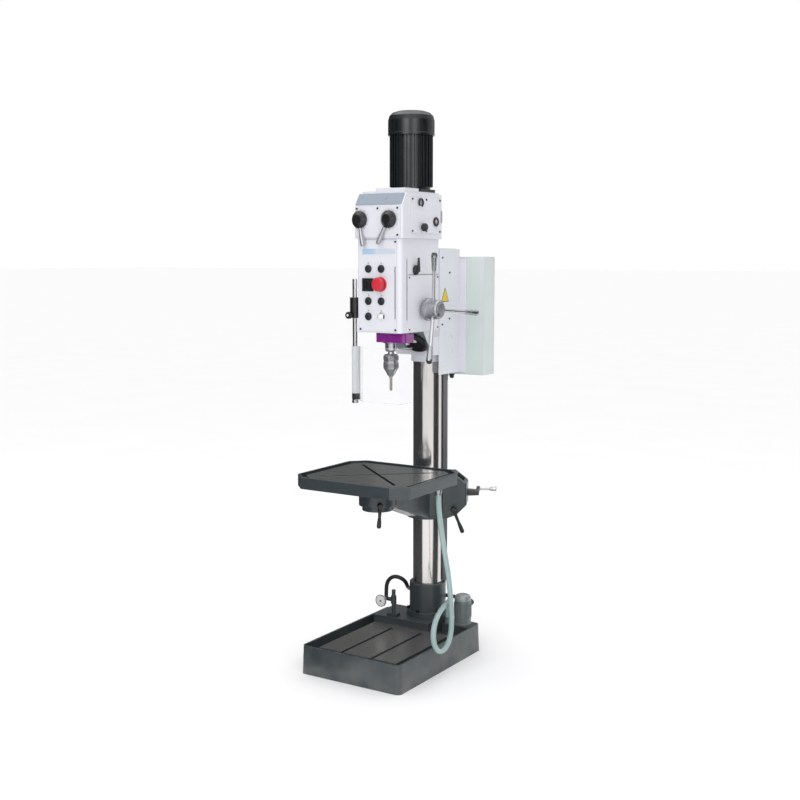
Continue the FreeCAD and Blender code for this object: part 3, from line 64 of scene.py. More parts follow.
# Places of the parts that they belong to, in metres.
SPINDLE_Y = -0.017
DIAL_X, DIAL_Z, DIAL_RADIUS = {"left": -0.087, "right": 0.057}, 1.917, 0.0362
BUTTON_X, BUTTON_Z = (-0.053, 0.011), (1.738, 1.604, 1.540)
STOP_X, STOP_Z = 0.008, 1.650
INDICATOR_X, INDICATOR_TOP = (-0.0020, 0.0240), 1.530
WORK_FACE_Z, TABLE_FACE_Z = (0.1070, 0.1090), (0.8500, 0.8520)
HEAD_UNDERSIDE_Z = 1.345
SIGHT_Y, SIGHT_Z, OIL_LEVEL_Z = 0.142, 1.911, 1.9095
HOOK_Y, HOOK_Z = 0.016, 1.987
SEAM_X, SIGN_X = 0.1066, 0.0998
GUARD_SHEET_Z, GUARD_CAP_Z = (1.1595, 1.3855), 1.186
LAMP_FACING = (0, -0.6786, -0.7345)
GLAND_X, GLAND_Y = (-0.04, 0.0, 0.04), 0.43
PUMP_X, PUMP_Y, PUMP_RIB_Z, PUMP_LID_Z = 0.184, 0.290, 0.190, 0.2335

# Route of each hose: the control points of its line, from one fitting to the other.
DRAIN_ROUTE = (
    (0.257, -0.050, 0.776), (0.257, -0.050, 0.734), (0.261, -0.046, 0.678), (0.266, -0.038, 0.612),
    (0.271, -0.025, 0.540), (0.275, -0.009, 0.470), (0.278, 0.005, 0.402), (0.279, 0.015, 0.336),
    (0.280, 0.020, 0.276), (0.281, 0.022, 0.222), (0.282, 0.016, 0.172), (0.284, -0.012, 0.130),
    (0.286, -0.058, 0.112), (0.287, -0.106, 0.126), (0.287, -0.137, 0.170), (0.285, -0.137, 0.220),
    (0.280, -0.108, 0.262), (0.272, -0.060, 0.284), (0.260, -0.004, 0.292), (0.247, 0.050, 0.291),
    (0.228, 0.102, 0.284), (0.204, 0.150, 0.274), (0.178, 0.191, 0.260), (0.150, 0.228, 0.242),
    (0.130, 0.254, 0.218), (0.124, 0.262, 0.186), (0.124, 0.262, 0.153),
)
COOLANT_ROUTE = (
    (-0.152, 0.176, 0.234), (-0.152, 0.176, 0.262), (-0.149, 0.178, 0.290), (-0.133, 0.182, 0.314),
    (-0.109, 0.189, 0.323), (-0.087, 0.202, 0.314), (-0.078, 0.221, 0.296), (-0.084, 0.243, 0.276),
    (-0.096, 0.270, 0.256), (-0.104, 0.304, 0.238), (-0.102, 0.341, 0.223), (-0.086, 0.376, 0.211),
    (-0.056, 0.402, 0.204), (-0.018, 0.416, 0.200), (0.026, 0.421, 0.198), (0.068, 0.424, 0.197),
    (0.106, 0.425, 0.197), (0.140, 0.420, 0.197), (0.168, 0.404, 0.197), (0.184, 0.378, 0.197),
    (0.184, 0.350, 0.197),
)


# ---- sizes and colours that a user may change ----

def colour(name, description, default):
    """A colour that the sidebar shows."""
    return FloatVectorProperty(name=name, description=description, subtype="COLOR", size=3, min=0, max=1,
                               default=default)


class DrillColours(bpy.types.PropertyGroup):
    head: colour("Head", "Paint of the head, gearbox and bracket", (0.74, 0.745, 0.80))
    slant: colour("Slanted panel", "Panel on the slanted front of the gearbox", (0.25, 0.30, 0.36))
    casting: colour("Castings", "Paint of the base, arm and column foot", (0.034, 0.045, 0.050))
    motor: colour("Motor", "Paint of the motor", (0.0035, 0.0065, 0.0075))
    collar: colour("Quill collar", "Bright paint of the quill collar", (0.24, 0.012, 0.25))
    hose: colour("Drain hose", "Tint of the clear drain hose", (0.42, 0.58, 0.57))
    cabinet: colour("Cabinet", "Paint of the electrical cabinet", (0.62, 0.69, 0.67))
    stripe: colour("Stripe", "Stripe across the control panel", (0.40, 0.55, 0.72))
    stop: colour("Stop button", "Plastic of the stop button", (0.62, 0.03, 0.05))


class DrillSizes(bpy.types.PropertyGroup):
    edge: FloatProperty(name="Edge rounding", default=0.003, min=0, max=0.02, unit="LENGTH",
                        description="Radius that painted edges are rounded to in the finish")
    wear: FloatProperty(name="Edge wear", description="Share of bare metal on the edges of the castings",
                        default=0.35, min=0, max=1, subtype="FACTOR")
    peel: FloatProperty(name="Orange peel", description="Depth of the paint's fine waves",
                        default=0.00025, min=0, max=0.002, unit="LENGTH")
    vents: IntProperty(name="Fan vents", description="Slots round the top of the fan cover",
                       default=36, min=6, max=90)
    knurls: IntProperty(name="Chuck ridges", description="Ridges round the chuck sleeve",
                        default=40, min=8, max=120)
    ticks: IntProperty(name="Feed dial ticks", description="Marks round the feed dial",
                       default=48, min=12, max=120)
    floor: FloatProperty(name="Floor size", description="Side of the pale floor",
                         default=300.0, min=4, unit="LENGTH")


def colours():
    return bpy.context.scene.drill_colours


def sizes():
    return bpy.context.scene.drill_sizes


# ---- finishes ----

class Finish:
    """Builds one procedural material. Places come from the object's own coordinates, in metres."""

    def __init__(self, name, roughness, metallic=0.0):
        self.material = bpy.data.materials.new(name)
        self.material.use_nodes = True
        self.tree = self.material.node_tree
        self.shader = self.tree.nodes["Principled BSDF"]
        self.shader.inputs["Roughness"].default_value = roughness
        self.shader.inputs["Metallic"].default_value = metallic
        self.place = self.tree.nodes.new("ShaderNodeTexCoord").outputs["Object"]

    def add(self, kind, inputs=(), **settings):
        made = self.tree.nodes.new(kind)
        for key, value in settings.items():
            setattr(made, key, value)
        for key, value in dict(inputs).items():
            self.feed(made.inputs[key], value)
        return made

    def feed(self, socket, value):
        if isinstance(value, bpy.types.NodeSocket):
            self.tree.links.new(value, socket)
        else:
            socket.default_value = value

    def noise(self, scale, detail=3.0, stretch=(1, 1, 1)):
        """Cloudy noise from 0 to 1, drawn out along an axis where stretch is more than one."""
        place = self.add("ShaderNodeMapping", {"Vector": self.place, "Scale": stretch}).outputs[0]
        return self.add("ShaderNodeTexNoise", {"Vector": place, "Scale": scale, "Detail": detail}).outputs[0]

    def span(self, value, low, high, to_low=0.0, to_high=1.0):
        """Maps a number from one range to another, held at the ends."""
        return self.add("ShaderNodeMapRange", {"Value": value, "From Min": low, "From Max": high,
                                               "To Min": to_low, "To Max": to_high}).outputs[0]

    def times(self, a, b):
        return self.add("ShaderNodeMath", {0: a, 1: b}, operation="MULTIPLY").outputs[0]

    def plus(self, a, b):
        return self.add("ShaderNodeMath", {0: a, 1: b}, operation="ADD").outputs[0]

    def coloured(self, value):
        """A colour as a socket takes it, with full opacity where it is three numbers."""
        return value if isinstance(value, bpy.types.NodeSocket) else (*value, 1.0)

    def mixed(self, factor, first, second):
        mix = self.add("ShaderNodeMix", data_type="RGBA")
        self.feed(mix.inputs[0], factor)
        self.feed(mix.inputs[6], self.coloured(first))
        self.feed(mix.inputs[7], self.coloured(second))
        return mix.outputs[2]

    def along(self, axis):
        """The object's own x, y or z."""
        return self.add("ShaderNodeSeparateXYZ", {0: self.place}).outputs["XYZ".index(axis)]

    def facing(self, axis):
        """How far the surface faces along x, y or z, from -1 to 1."""
        normal = self.add("ShaderNodeNewGeometry").outputs["Normal"]
        return self.add("ShaderNodeSeparateXYZ", {0: normal}).outputs["XYZ".index(axis)]

    def band(self, axis, ends, fade=0.0005):
        """One between two places along an axis, and nothing outside them."""
        low, high = ends
        return self.times(self.span(self.along(axis), low, low + fade),
                          self.span(self.along(axis), high, high - fade))

    def level_face(self, ends):
        """One on the faces that look straight up between two heights."""
        return self.times(self.span(self.facing("Z"), 0.9, 0.95), self.band("Z", ends))

    def rounded(self):
        """The surface direction with its sharp edges rounded."""
        return self.add("ShaderNodeBevel", {"Radius": sizes().edge}, samples=4).outputs[0]

    def edge(self):
        """One on the sharp edges of a piece, fading to nothing beside them."""
        flat = self.add("ShaderNodeNewGeometry").outputs["Normal"]
        likeness = self.add("ShaderNodeVectorMath", {0: self.rounded(), 1: flat}, operation="DOT_PRODUCT")
        return self.span(likeness.outputs["Value"], 0.995, 0.86)

    def bump(self, height, depth, rounded=True):
        made = self.add("ShaderNodeBump", {"Height": height, "Distance": depth, "Strength": 1.0})
        if rounded:
            self.feed(made.inputs["Normal"], self.rounded())
        self.feed(self.shader.inputs["Normal"], made.outputs[0])

    def paint(self, base):
        self.feed(self.shader.inputs["Base Color"], self.coloured(base))

    def roughen(self, grain, change_low, change_high):
        """Varies the roughness about its set value, by a noise."""
        socket = self.shader.inputs["Roughness"]
        middle = socket.default_value
        self.feed(socket, self.span(grain, 0.3, 0.7, middle + change_low, middle + change_high))

    def set(self, **values):
        """Sets shader sockets by name, with underscores for spaces."""
        for key, value in values.items():
            self.shader.inputs[key.replace("_", " ")].default_value = value


def scaled(base, share):
    return tuple(min(1.0, c * share) for c in base)


BARE_METAL, DUST, DUST_HEIGHT = (0.45, 0.45, 0.46), (0.42, 0.40, 0.37), 0.16


def painted(name, base, roughness=0.38, mottle=0.06, wear=0.0, coat=0.4, dust=0.0):
    """Machine paint: a faint mottle, orange peel, rounded edges and, on castings, bare edges and dust."""
    finish = Finish(name, roughness)
    cloud = finish.noise(4.0, 5.0)
    tone = finish.mixed(cloud, scaled(base, 1 - mottle), scaled(base, 1 + mottle))
    if wear:
        rubbed = finish.times(finish.edge(), finish.span(finish.noise(45.0, 6.0), 0.42, 0.62))
        tone = finish.mixed(finish.times(rubbed, wear), tone, BARE_METAL)
    if dust:
        low = finish.times(finish.span(finish.along("Z"), DUST_HEIGHT, 0.0),
                           finish.span(finish.noise(9.0, 6.0), 0.35, 0.75))
        tone = finish.mixed(finish.times(low, dust), tone, DUST)
    finish.paint(tone)
    finish.roughen(finish.noise(26.0, 4.0), -0.06, 0.08)
    finish.set(Coat_Weight=coat, Coat_Roughness=0.18)
    finish.bump(finish.noise(420.0, 2.0), sizes().peel)
    return finish


def metal(name, base, roughness, stretch=(1, 1, 1), grain=60.0, contrast=0.12, depth=0.00001):
    """Bare metal with tool marks that run across the stretched direction."""
    finish = Finish(name, roughness, metallic=1.0)
    lines = finish.noise(grain, 5.0, stretch)
    finish.paint(finish.mixed(lines, scaled(base, 1 - contrast), scaled(base, 1 + contrast)))
    finish.roughen(lines, -0.25 * roughness, 0.3 * roughness)
    finish.bump(lines, depth)
    return finish


def plastic(name, base, roughness=0.35, grain=0.0002):
    """Moulded plastic with a fine grain and slightly rubbed edges."""
    finish = Finish(name, roughness)
    body = finish.mixed(finish.noise(18.0), scaled(base, 0.9), scaled(base, 1.08))
    finish.paint(finish.mixed(finish.times(finish.edge(), 0.3), body, scaled(base, 1.8)))
    finish.roughen(finish.noise(90.0), -0.05, 0.08)
    finish.bump(finish.noise(900.0, 1.0), grain)
    return finish


def two_tone(finish, factor, second, metallic=None, roughness=None):
    """Gives part of a piece another colour, and where wanted another sheen."""
    inputs = finish.shader.inputs
    finish.paint(finish.mixed(factor, inputs["Base Color"].links[0].from_socket, second))
    if metallic is not None:
        finish.feed(inputs["Metallic"],
                    finish.span(factor, 0.0, 1.0, inputs["Metallic"].default_value, metallic))
    if roughness is not None:
        old = inputs["Roughness"].links[0].from_socket
        mixed = finish.add("ShaderNodeMix", {0: factor, 2: old, 3: roughness}, data_type="FLOAT")
        finish.feed(inputs["Roughness"], mixed.outputs[0])


def coat_nodes(finish, *names):
    """Gives CAD nodes a finish in place of their own."""
    for name in names:
        piece = NODES[name]
        piece.data.materials.clear()
        piece.data.materials.append(finish.material)


# ---- shapes ----

def solid(name, body, finish, build, smooth=30):
    """A new piece from bmesh code, riding on a body of the frame."""
    work = bmesh.new()
    build(work)
    bmesh.ops.recalc_face_normals(work, faces=work.faces)
    mesh = bpy.data.meshes.new(name)
    work.to_mesh(mesh)
    work.free()
    placed(name, body, finish, mesh, smooth)


def placed(name, body, finish, mesh, smooth):
    """Puts a mesh in the scene with its finish, shaded smooth up to an angle, riding on a body."""
    mesh.materials.clear()
    mesh.materials.append(finish.material)
    if smooth:
        mesh.shade_smooth()
        mesh.set_sharp_from_angle(angle=math.radians(smooth))
    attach(linked(name, mesh), body)


def linked(name, data):
    """A new object in the scene."""
    made = bpy.data.objects.new(name, data)
    bpy.context.scene.collection.objects.link(made)
    return made


def lathe(profile, matrix, steps=64):
    """Adds a turned shape: (radius, height) pairs about local z, closed at both ends on the axis."""
    turns = [(math.cos(math.tau * i / steps), math.sin(math.tau * i / steps)) for i in range(steps)]

    def build(work):
        rings = []
        for radius, height in profile:
            around = turns if radius else [(0, 0)]
            rings.append([work.verts.new(matrix @ Vector((radius * c, radius * s, height)))
                          for c, s in around])
        for low, high in zip(rings, rings[1:]):
            for i in range(steps):
                j = (i + 1) % steps
                corners = [low[i % len(low)], low[j % len(low)], high[j % len(high)], high[i % len(high)]]
                unique = [c for k, c in enumerate(corners) if c not in corners[:k]]
                if len(unique) > 2:
                    work.faces.new(unique)
    return build


def slab(corners, thickness, direction, rounding=0.0):
    """Adds a flat plate: its outline in space, thickened along a direction, with rounded corners."""
    def build(work):
        step = Vector(direction).normalized() * thickness
        low = [work.verts.new(Vector(c)) for c in corners]
        high = [work.verts.new(Vector(c) + step) for c in corners]
        work.faces.new(low[::-1])
        work.faces.new(high)
        sides = []
        for i in range(len(corners)):
            j = (i + 1) % len(corners)
            work.faces.new((low[i], low[j], high[j], high[i]))
            sides.append((low[i], high[i]))
        if rounding:
            edges = [work.edges.get(pair) for pair in sides]
            bmesh.ops.bevel(work, geom=edges, offset=rounding, segments=5, affect="EDGES", profile=0.5)
    return build


def rect_front(x0, x1, z0, z1, y):
    """Corners of an upright rectangle that faces the front."""
    return [(x0, y, z0), (x1, y, z0), (x1, y, z1), (x0, y, z1)]


def rect_side(y0, y1, z0, z1, x):
    """Corners of an upright rectangle that faces the side."""
    return [(x, y0, z0), (x, y1, z0), (x, y1, z1), (x, y0, z1)]


def aim(point, direction):
    """Frame at a point whose z axis points along a direction."""
    return Matrix.Translation(Vector(point)) @ Vector(direction).to_track_quat("Z", "Y").to_matrix().to_4x4()


def middle_of(node):
    """The middle of a node's box."""
    low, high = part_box(node)
    return Vector((low[i] + high[i]) / 2 for i in range(3))


# ---- repeated pieces by Geometry Nodes ----

def open_tree(face, inputs):
    """Names a tree's inputs with their usual values, its material and its result."""
    for name, kind, value in inputs:
        face.new_socket(name, in_out="INPUT", socket_type="NodeSocket" + kind).default_value = value
    face.new_socket("Material", in_out="INPUT", socket_type="NodeSocketMaterial")
    face.new_socket("Geometry", in_out="OUTPUT", socket_type="NodeSocketGeometry")


def ring_tree():
    """Blocks spaced evenly round a circle in the x-y plane, each turned to face outward."""
    tree = bpy.data.node_groups.new("Blocks round a ring", "GeometryNodeTree")
    face = tree.interface
    open_tree(face, (("Count", "Int", 12), ("Ring Radius", "Float", 0.05), ("Depth", "Float", 0.01),
                     ("Width", "Float", 0.004), ("Height", "Float", 0.01), ("Lean", "Float", 0.0)))
    nodes, links = tree.nodes, tree.links
    entry = nodes.new("NodeGroupInput")
    circle = nodes.new("GeometryNodeMeshCircle")
    links.new(entry.outputs["Count"], circle.inputs["Vertices"])
    links.new(entry.outputs["Ring Radius"], circle.inputs["Radius"])
    size = nodes.new("ShaderNodeCombineXYZ")
    for name, axis in (("Depth", "X"), ("Width", "Y"), ("Height", "Z")):
        links.new(entry.outputs[name], size.inputs[axis])
    block = nodes.new("GeometryNodeMeshCube")
    links.new(size.outputs[0], block.inputs["Size"])
    tilt = nodes.new("ShaderNodeCombineXYZ")
    links.new(entry.outputs["Lean"], tilt.inputs["Y"])
    leaned = nodes.new("GeometryNodeTransform")
    links.new(block.outputs[0], leaned.inputs["Geometry"])
    links.new(tilt.outputs[0], leaned.inputs["Rotation"])
    outward = nodes.new("FunctionNodeAlignRotationToVector")
    outward.axis = "X"
    links.new(nodes.new("GeometryNodeInputPosition").outputs[0], outward.inputs["Vector"])
    spread = nodes.new("GeometryNodeInstanceOnPoints")
    links.new(circle.outputs[0], spread.inputs["Points"])
    links.new(leaned.outputs[0], spread.inputs["Instance"])
    links.new(outward.outputs[0], spread.inputs["Rotation"])
    close_tree(tree, entry, spread.outputs[0])
    return tree


def studs_tree():
    """A small round head on each point of the mesh, standing along local z."""
    tree = bpy.data.node_groups.new("Heads on points", "GeometryNodeTree")
    face = tree.interface
    face.new_socket("Geometry", in_out="INPUT", socket_type="NodeSocketGeometry")
    open_tree(face, (("Radius", "Float", 0.004), ("Height", "Float", 0.003), ("Top Share", "Float", 0.8),
                     ("Turn", "Vector", (0, 0, 0))))
    nodes, links = tree.nodes, tree.links
    entry = nodes.new("NodeGroupInput")
    head = nodes.new("GeometryNodeMeshCone")
    head.inputs["Vertices"].default_value = 20
    top = nodes.new("ShaderNodeMath")
    top.operation = "MULTIPLY"
    links.new(entry.outputs["Radius"], top.inputs[0])
    links.new(entry.outputs["Top Share"], top.inputs[1])
    links.new(top.outputs[0], head.inputs["Radius Top"])
    links.new(entry.outputs["Radius"], head.inputs["Radius Bottom"])
    links.new(entry.outputs["Height"], head.inputs["Depth"])
    spread = nodes.new("GeometryNodeInstanceOnPoints")
    links.new(entry.outputs["Geometry"], spread.inputs["Points"])
    links.new(head.outputs[0], spread.inputs["Instance"])
    links.new(entry.outputs["Turn"], spread.inputs["Rotation"])
    close_tree(tree, entry, spread.outputs[0])
    return tree


def close_tree(tree, entry, geometry):
    """Ends a tree the way every repeated piece needs: real geometry with its material."""
    leave = tree.nodes.new("NodeGroupOutput")
    real = tree.nodes.new("GeometryNodeRealizeInstances")
    dressed = tree.nodes.new("GeometryNodeSetMaterial")
    tree.links.new(geometry, real.inputs[0])
    tree.links.new(real.outputs[0], dressed.inputs["Geometry"])
    tree.links.new(entry.outputs["Material"], dressed.inputs["Material"])
    tree.links.new(dressed.outputs[0], leave.inputs[0])


def grown(name, body, finish, tree, settings, points=(), matrix=Matrix.Identity(4)):
    """Runs a tree on a new object and keeps the result as a plain mesh on that body."""
    seed = bpy.data.meshes.new(name + "_seed")
    seed.from_pydata([Vector(p) for p in points], [], [])
    maker = linked(name + "_seed", seed)
    modifier = maker.modifiers.new("repeat", "NODES")
    modifier.node_group = tree
    keys = {item.name: item.identifier for item in tree.interface.items_tree if item.in_out == "INPUT"}
    for key, value in {**settings, "Material": finish.material}.items():
        modifier[keys[key]] = value
    maker.update_tag()
    depsgraph = bpy.context.evaluated_depsgraph_get()
    mesh = bpy.data.meshes.new_from_object(maker.evaluated_get(depsgraph))
    mesh.name = name
    maker.modifiers.clear()
    bpy.data.objects.remove(maker)
    if not mesh.polygons:
        raise RuntimeError("the tree of " + name + " made no faces")
    mesh.transform(matrix)
    placed(name, body, finish, mesh, smooth=0)


# ---- repeated rings ----

def ring(name, body, finish, tree, count, radius, block, matrix, lean=0.0):
    """Blocks of (depth, width, height) spaced evenly round a circle in a local frame."""
    depth, width, height = block
    grown(name, body, finish, tree, {"Count": count, "Ring Radius": radius, "Depth": depth, "Width": width,
                                     "Height": height, "Lean": lean}, matrix=matrix)


# ---- operators ----

class Maker:
    """What the operators share."""
    bl_options = {"REGISTER", "UNDO"}


class DRILL_OT_stage(Maker, bpy.types.Operator):
    """Adds the pale floor, the soft studio lights and the camera"""
    bl_idname = "drill.stage"
    bl_label = "Stage"

    # The sky's brightness round the horizon: (share of a turn, level). Polished metal shows its bands.
    SKY_BANDS = ((0.0, 0.12), (0.21, 0.16), (0.245, 1.0), (0.385, 1.2), (0.400, 0.45), (0.415, 1.1),
                 (0.438, 0.95), (0.460, 0.20), (0.58, 0.24), (0.62, 0.75), (0.79, 0.60), (0.84, 0.2),
                 (1.0, 0.12))
    SKY_TOP, SEEN_BEHIND, SKY_STRENGTH = (1.95, 1.95, 1.97, 1.0), (1.36, 1.36, 1.36, 1.0), 0.75
    SKY_TOP_FROM, SKY_TOP_TO = 0.45, 0.75
    LIGHTS = (  # name, place, target, watts, width
        ("key", (0.4, -4.8, 3.4), (0, 0, 1.2), 50, 2.4),
        ("fill", (4.2, -3.4, 2.4), (0, 0, 1.2), 30, 2.0),
        ("top", (-0.6, 0.6, 5.0), (0, 0, 1.0), 26, 2.6),
    )
    CARDS = (("dark_card_left", 126, 257), ("dark_card_right", -12, 34))  # name, first and last degrees

    def execute(self, context):
        context.scene.view_settings.view_transform = "Standard"
        self.camera(context.scene)
        self.floor()
        self.sky(context.scene)
        for name, place, target, power, width in self.LIGHTS:
            light = linked(name, bpy.data.lights.new(name, "AREA"))
            light.data.energy = power
            light.data.size = width
            light.matrix_world = aim(place, Vector(place) - Vector(target))
        dark = Finish("dark_card", 0.9)
        dark.paint(dark.mixed(dark.noise(2.0), (0.035, 0.035, 0.036), (0.055, 0.055, 0.056)))
        for name, start, end in self.CARDS:
            self.dark_card(name, dark, math.radians(start), math.radians(end))
        return {"FINISHED"}

    def camera(self, scene):
        camera = linked("camera", bpy.data.cameras.new("camera"))
        camera.location = (2.748, -4.250, 1.762)
        camera.rotation_euler = (math.radians(90 - 6.836), 0, math.radians(32.557))
        camera.data.lens = 53.59
        camera.data.sensor_width = 36
        scene.camera = camera

    def floor(self):
        half = sizes().floor / 2
        mesh = bpy.data.meshes.new("floor")
        mesh.from_pydata([(-half, -half, 0), (half, -half, 0), (half, half, 0), (-half, half, 0)], [],
                         [(0, 1, 2, 3)])
        ground = Finish("pale_floor", 0.6)
        ground.paint(ground.mixed(ground.noise(1.5, 2.0), (0.90, 0.90, 0.90), (0.93, 0.93, 0.93)))
        ground.set(Specular_IOR_Level=0.0)
        mesh.materials.append(ground.material)
        linked("floor", mesh)

    def sky(self, scene):
        """Bands round the horizon, a bright top, and a plain white behind the machine."""
        world = bpy.data.worlds.new("studio")
        scene.world = world
        world.use_nodes = True
        nodes, links = world.node_tree.nodes, world.node_tree.links
        parts = nodes.new("ShaderNodeSeparateXYZ")
        links.new(nodes.new("ShaderNodeTexCoord").outputs["Generated"], parts.inputs[0])
        turn = nodes.new("ShaderNodeMath")
        turn.operation = "ARCTAN2"
        links.new(parts.outputs["Y"], turn.inputs[0])
        links.new(parts.outputs["X"], turn.inputs[1])
        share = nodes.new("ShaderNodeMapRange")
        share.inputs["From Min"].default_value = -math.pi
        share.inputs["From Max"].default_value = math.pi
        links.new(turn.outputs[0], share.inputs["Value"])
        ramp = nodes.new("ShaderNodeValToRGB")
        links.new(share.outputs[0], ramp.inputs[0])
        elements = ramp.color_ramp.elements
        elements[0].position, elements[1].position = self.SKY_BANDS[0][0], self.SKY_BANDS[-1][0]
        for position, _ in self.SKY_BANDS[1:-1]:
            elements.new(position)
        for element, (_, level) in zip(elements, self.SKY_BANDS):
            element.color = (level, level, level * 1.01, 1.0)
        height = nodes.new("ShaderNodeMapRange")
        links.new(parts.outputs["Z"], height.inputs["Value"])
        height.inputs["From Min"].default_value = self.SKY_TOP_FROM
        height.inputs["From Max"].default_value = self.SKY_TOP_TO
        colour_now = ramp.outputs[0]
        for factor, second in ((height.outputs[0], self.SKY_TOP),
                               (nodes.new("ShaderNodeLightPath").outputs["Is Camera Ray"], self.SEEN_BEHIND)):
            mix = nodes.new("ShaderNodeMix")
            mix.data_type = "RGBA"
            links.new(factor, mix.inputs[0])
            links.new(colour_now, mix.inputs[6])
            mix.inputs[7].default_value = second
            colour_now = mix.outputs[2]
        links.new(colour_now, nodes["Background"].inputs["Color"])
        nodes["Background"].inputs["Strength"].default_value = self.SKY_STRENGTH

    def dark_card(self, name, finish, start, end, radius=2.2, height=3.0, steps=24):
        """A curved dark card round the machine that only polished metal reflects."""
        profile = ((0.5, 0.004), (radius, 0.02), (radius, height))
        turns = [(math.cos(angle), math.sin(angle))
                 for angle in (start + (end - start) * i / steps for i in range(steps + 1))]
        mesh = bpy.data.meshes.new(name)
        mesh.from_pydata([(c * reach, s * reach, z) for c, s in turns for reach, z in profile], [],
                         [(3 * i + k, 3 * i + 3 + k, 3 * i + 4 + k, 3 * i + 1 + k)
                          for i in range(steps) for k in range(2)])
        mesh.materials.append(finish.material)
        card = linked(name, mesh)
        card.visible_camera = card.visible_diffuse = card.visible_shadow = card.visible_transmission = False


class DRILL_OT_hoses(Maker, bpy.types.Operator):
    """Adds the clear drain hose and the black coolant hose"""
    bl_idname = "drill.hoses"
    bl_label = "Hoses"

    def execute(self, context):
        tint = colours().hose
        clear = Finish("clear_hose", 0.22)
        clear.paint(clear.mixed(clear.noise(14.0, 3.0), scaled(tint, 0.88), scaled(tint, 1.1)))
        clear.set(Transmission_Weight=0.25, Subsurface_Weight=0.2, Coat_Weight=0.6)
        clear.bump(clear.noise(120.0, 2.0), 0.0002, rounded=False)
        black = plastic("black_rubber", (0.012, 0.012, 0.013), 0.4)
        self.hose("drain_tube", DRAIN_ROUTE, 0.0115, clear, "drain_hose", 1.389, "medium", "hanging")
        self.hose("coolant_tube", COOLANT_ROUTE, 0.009, black, "coolant_hose", 0.6755, "stiff", "loose")
        return {"FINISHED"}

    def hose(self, name, route, radius, finish, node, length, stiffness, lay):
        curve = bpy.data.curves.new(name, "CURVE")
        curve.dimensions = "3D"
        curve.bevel_depth = radius
        curve.bevel_resolution = 6
        curve.resolution_u = 10
        curve.use_fill_caps = True
        line = curve.splines.new("NURBS")
        line.points.add(len(route) - 1)
        for point, place in zip(line.points, route):
            point.co = (*place, 1.0)
        line.order_u = 3
        line.use_endpoint_u = True
        curve.materials.append(finish.material)
        piece = linked(name, curve)
        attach(piece, "machine")
        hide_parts(node)


class DRILL_OT_castings(Maker, bpy.types.Operator):
    """Paints the base, column foot and table arm, and machines the table"""
    bl_idname = "drill.castings"
    bl_label = "Castings"

    def execute(self, context):
        tone, wear = colours().casting, sizes().wear
        coat_nodes(painted("casting_paint", tone, 0.42, 0.12, wear=wear, dust=0.25), "column_foot", "table_arm")
        base = painted("base_paint", tone, 0.42, 0.12, wear=wear, dust=0.25)
        two_tone(base, base.level_face(WORK_FACE_Z), (0.19, 0.188, 0.18), 0.55, 0.27)
        coat_nodes(base, "base_casting")
        table = painted("table_paint", tone, 0.36, 0.12, wear=wear)
        two_tone(table, table.level_face(TABLE_FACE_Z), (0.20, 0.208, 0.20), 0.55, 0.27)
        coat_nodes(table, "table")
        return {"FINISHED"}


class DRILL_OT_steel(Maker, bpy.types.Operator):
    """Finishes the column, rack, spindle, fasteners and other bare steel"""
    bl_idname = "drill.steel"
    bl_label = "Steel"

    STEELS = (  # name, colour, roughness, stretch along z, grain, contrast, depth, nodes
        ("ground_column", (0.70, 0.68, 0.67), 0.15, 30, 30.0, 0.05, 0.000004, ("column_tube",)),
        ("rack_steel", (0.16, 0.16, 0.165), 0.42, 6, 90.0, 0.25, 0.00001, ("lift_rack",)),
        ("machined_steel", (0.52, 0.52, 0.54), 0.26, 40, 40.0, 0.12, 0.00001,
         ("table_pivot", "quill", "depth_rod", "spindle")),
        ("gear_steel", (0.42, 0.41, 0.40), 0.35, 12, 60.0, 0.12, 0.00001,
         ("lift_gear", "idler_gears", "spindle_wheel_gear", "motor_rotor", "feed_shaft")),
        ("drill_steel", (0.40, 0.35, 0.30), 0.28, 20, 80.0, 0.12, 0.00001, ("twist_drill",)),
        ("dark_screws", (0.035, 0.035, 0.04), 0.42, 1, 200.0, 0.12, 0.00001, ("machine_screws",)),
        ("chuck_steel", (0.44, 0.44, 0.45), 0.24, 30, 60.0, 0.3, 0.00001, ("chuck",)),
        ("bright_chrome", (0.60, 0.60, 0.62), 0.16, 1, 40.0, 0.05, 0.000002,
         ("feed_spokes", "guard_rod", "crank_handle")),
        ("satin_hub", (0.42, 0.43, 0.46), 0.34, 1, 60.0, 0.15, 0.00001, ("feed_hub", "drain_fitting")),
        ("brushed_grips", (0.40, 0.42, 0.43), 0.26, 1, 120.0, 0.15, 0.00001, ("feed_grips",)),
    )

    def execute(self, context):
        for name, base, roughness, stretch, grain, contrast, depth, nodes in self.STEELS:
            coat_nodes(metal(name, base, roughness, (1, 1, stretch), grain, contrast, depth), *nodes)
        return {"FINISHED"}


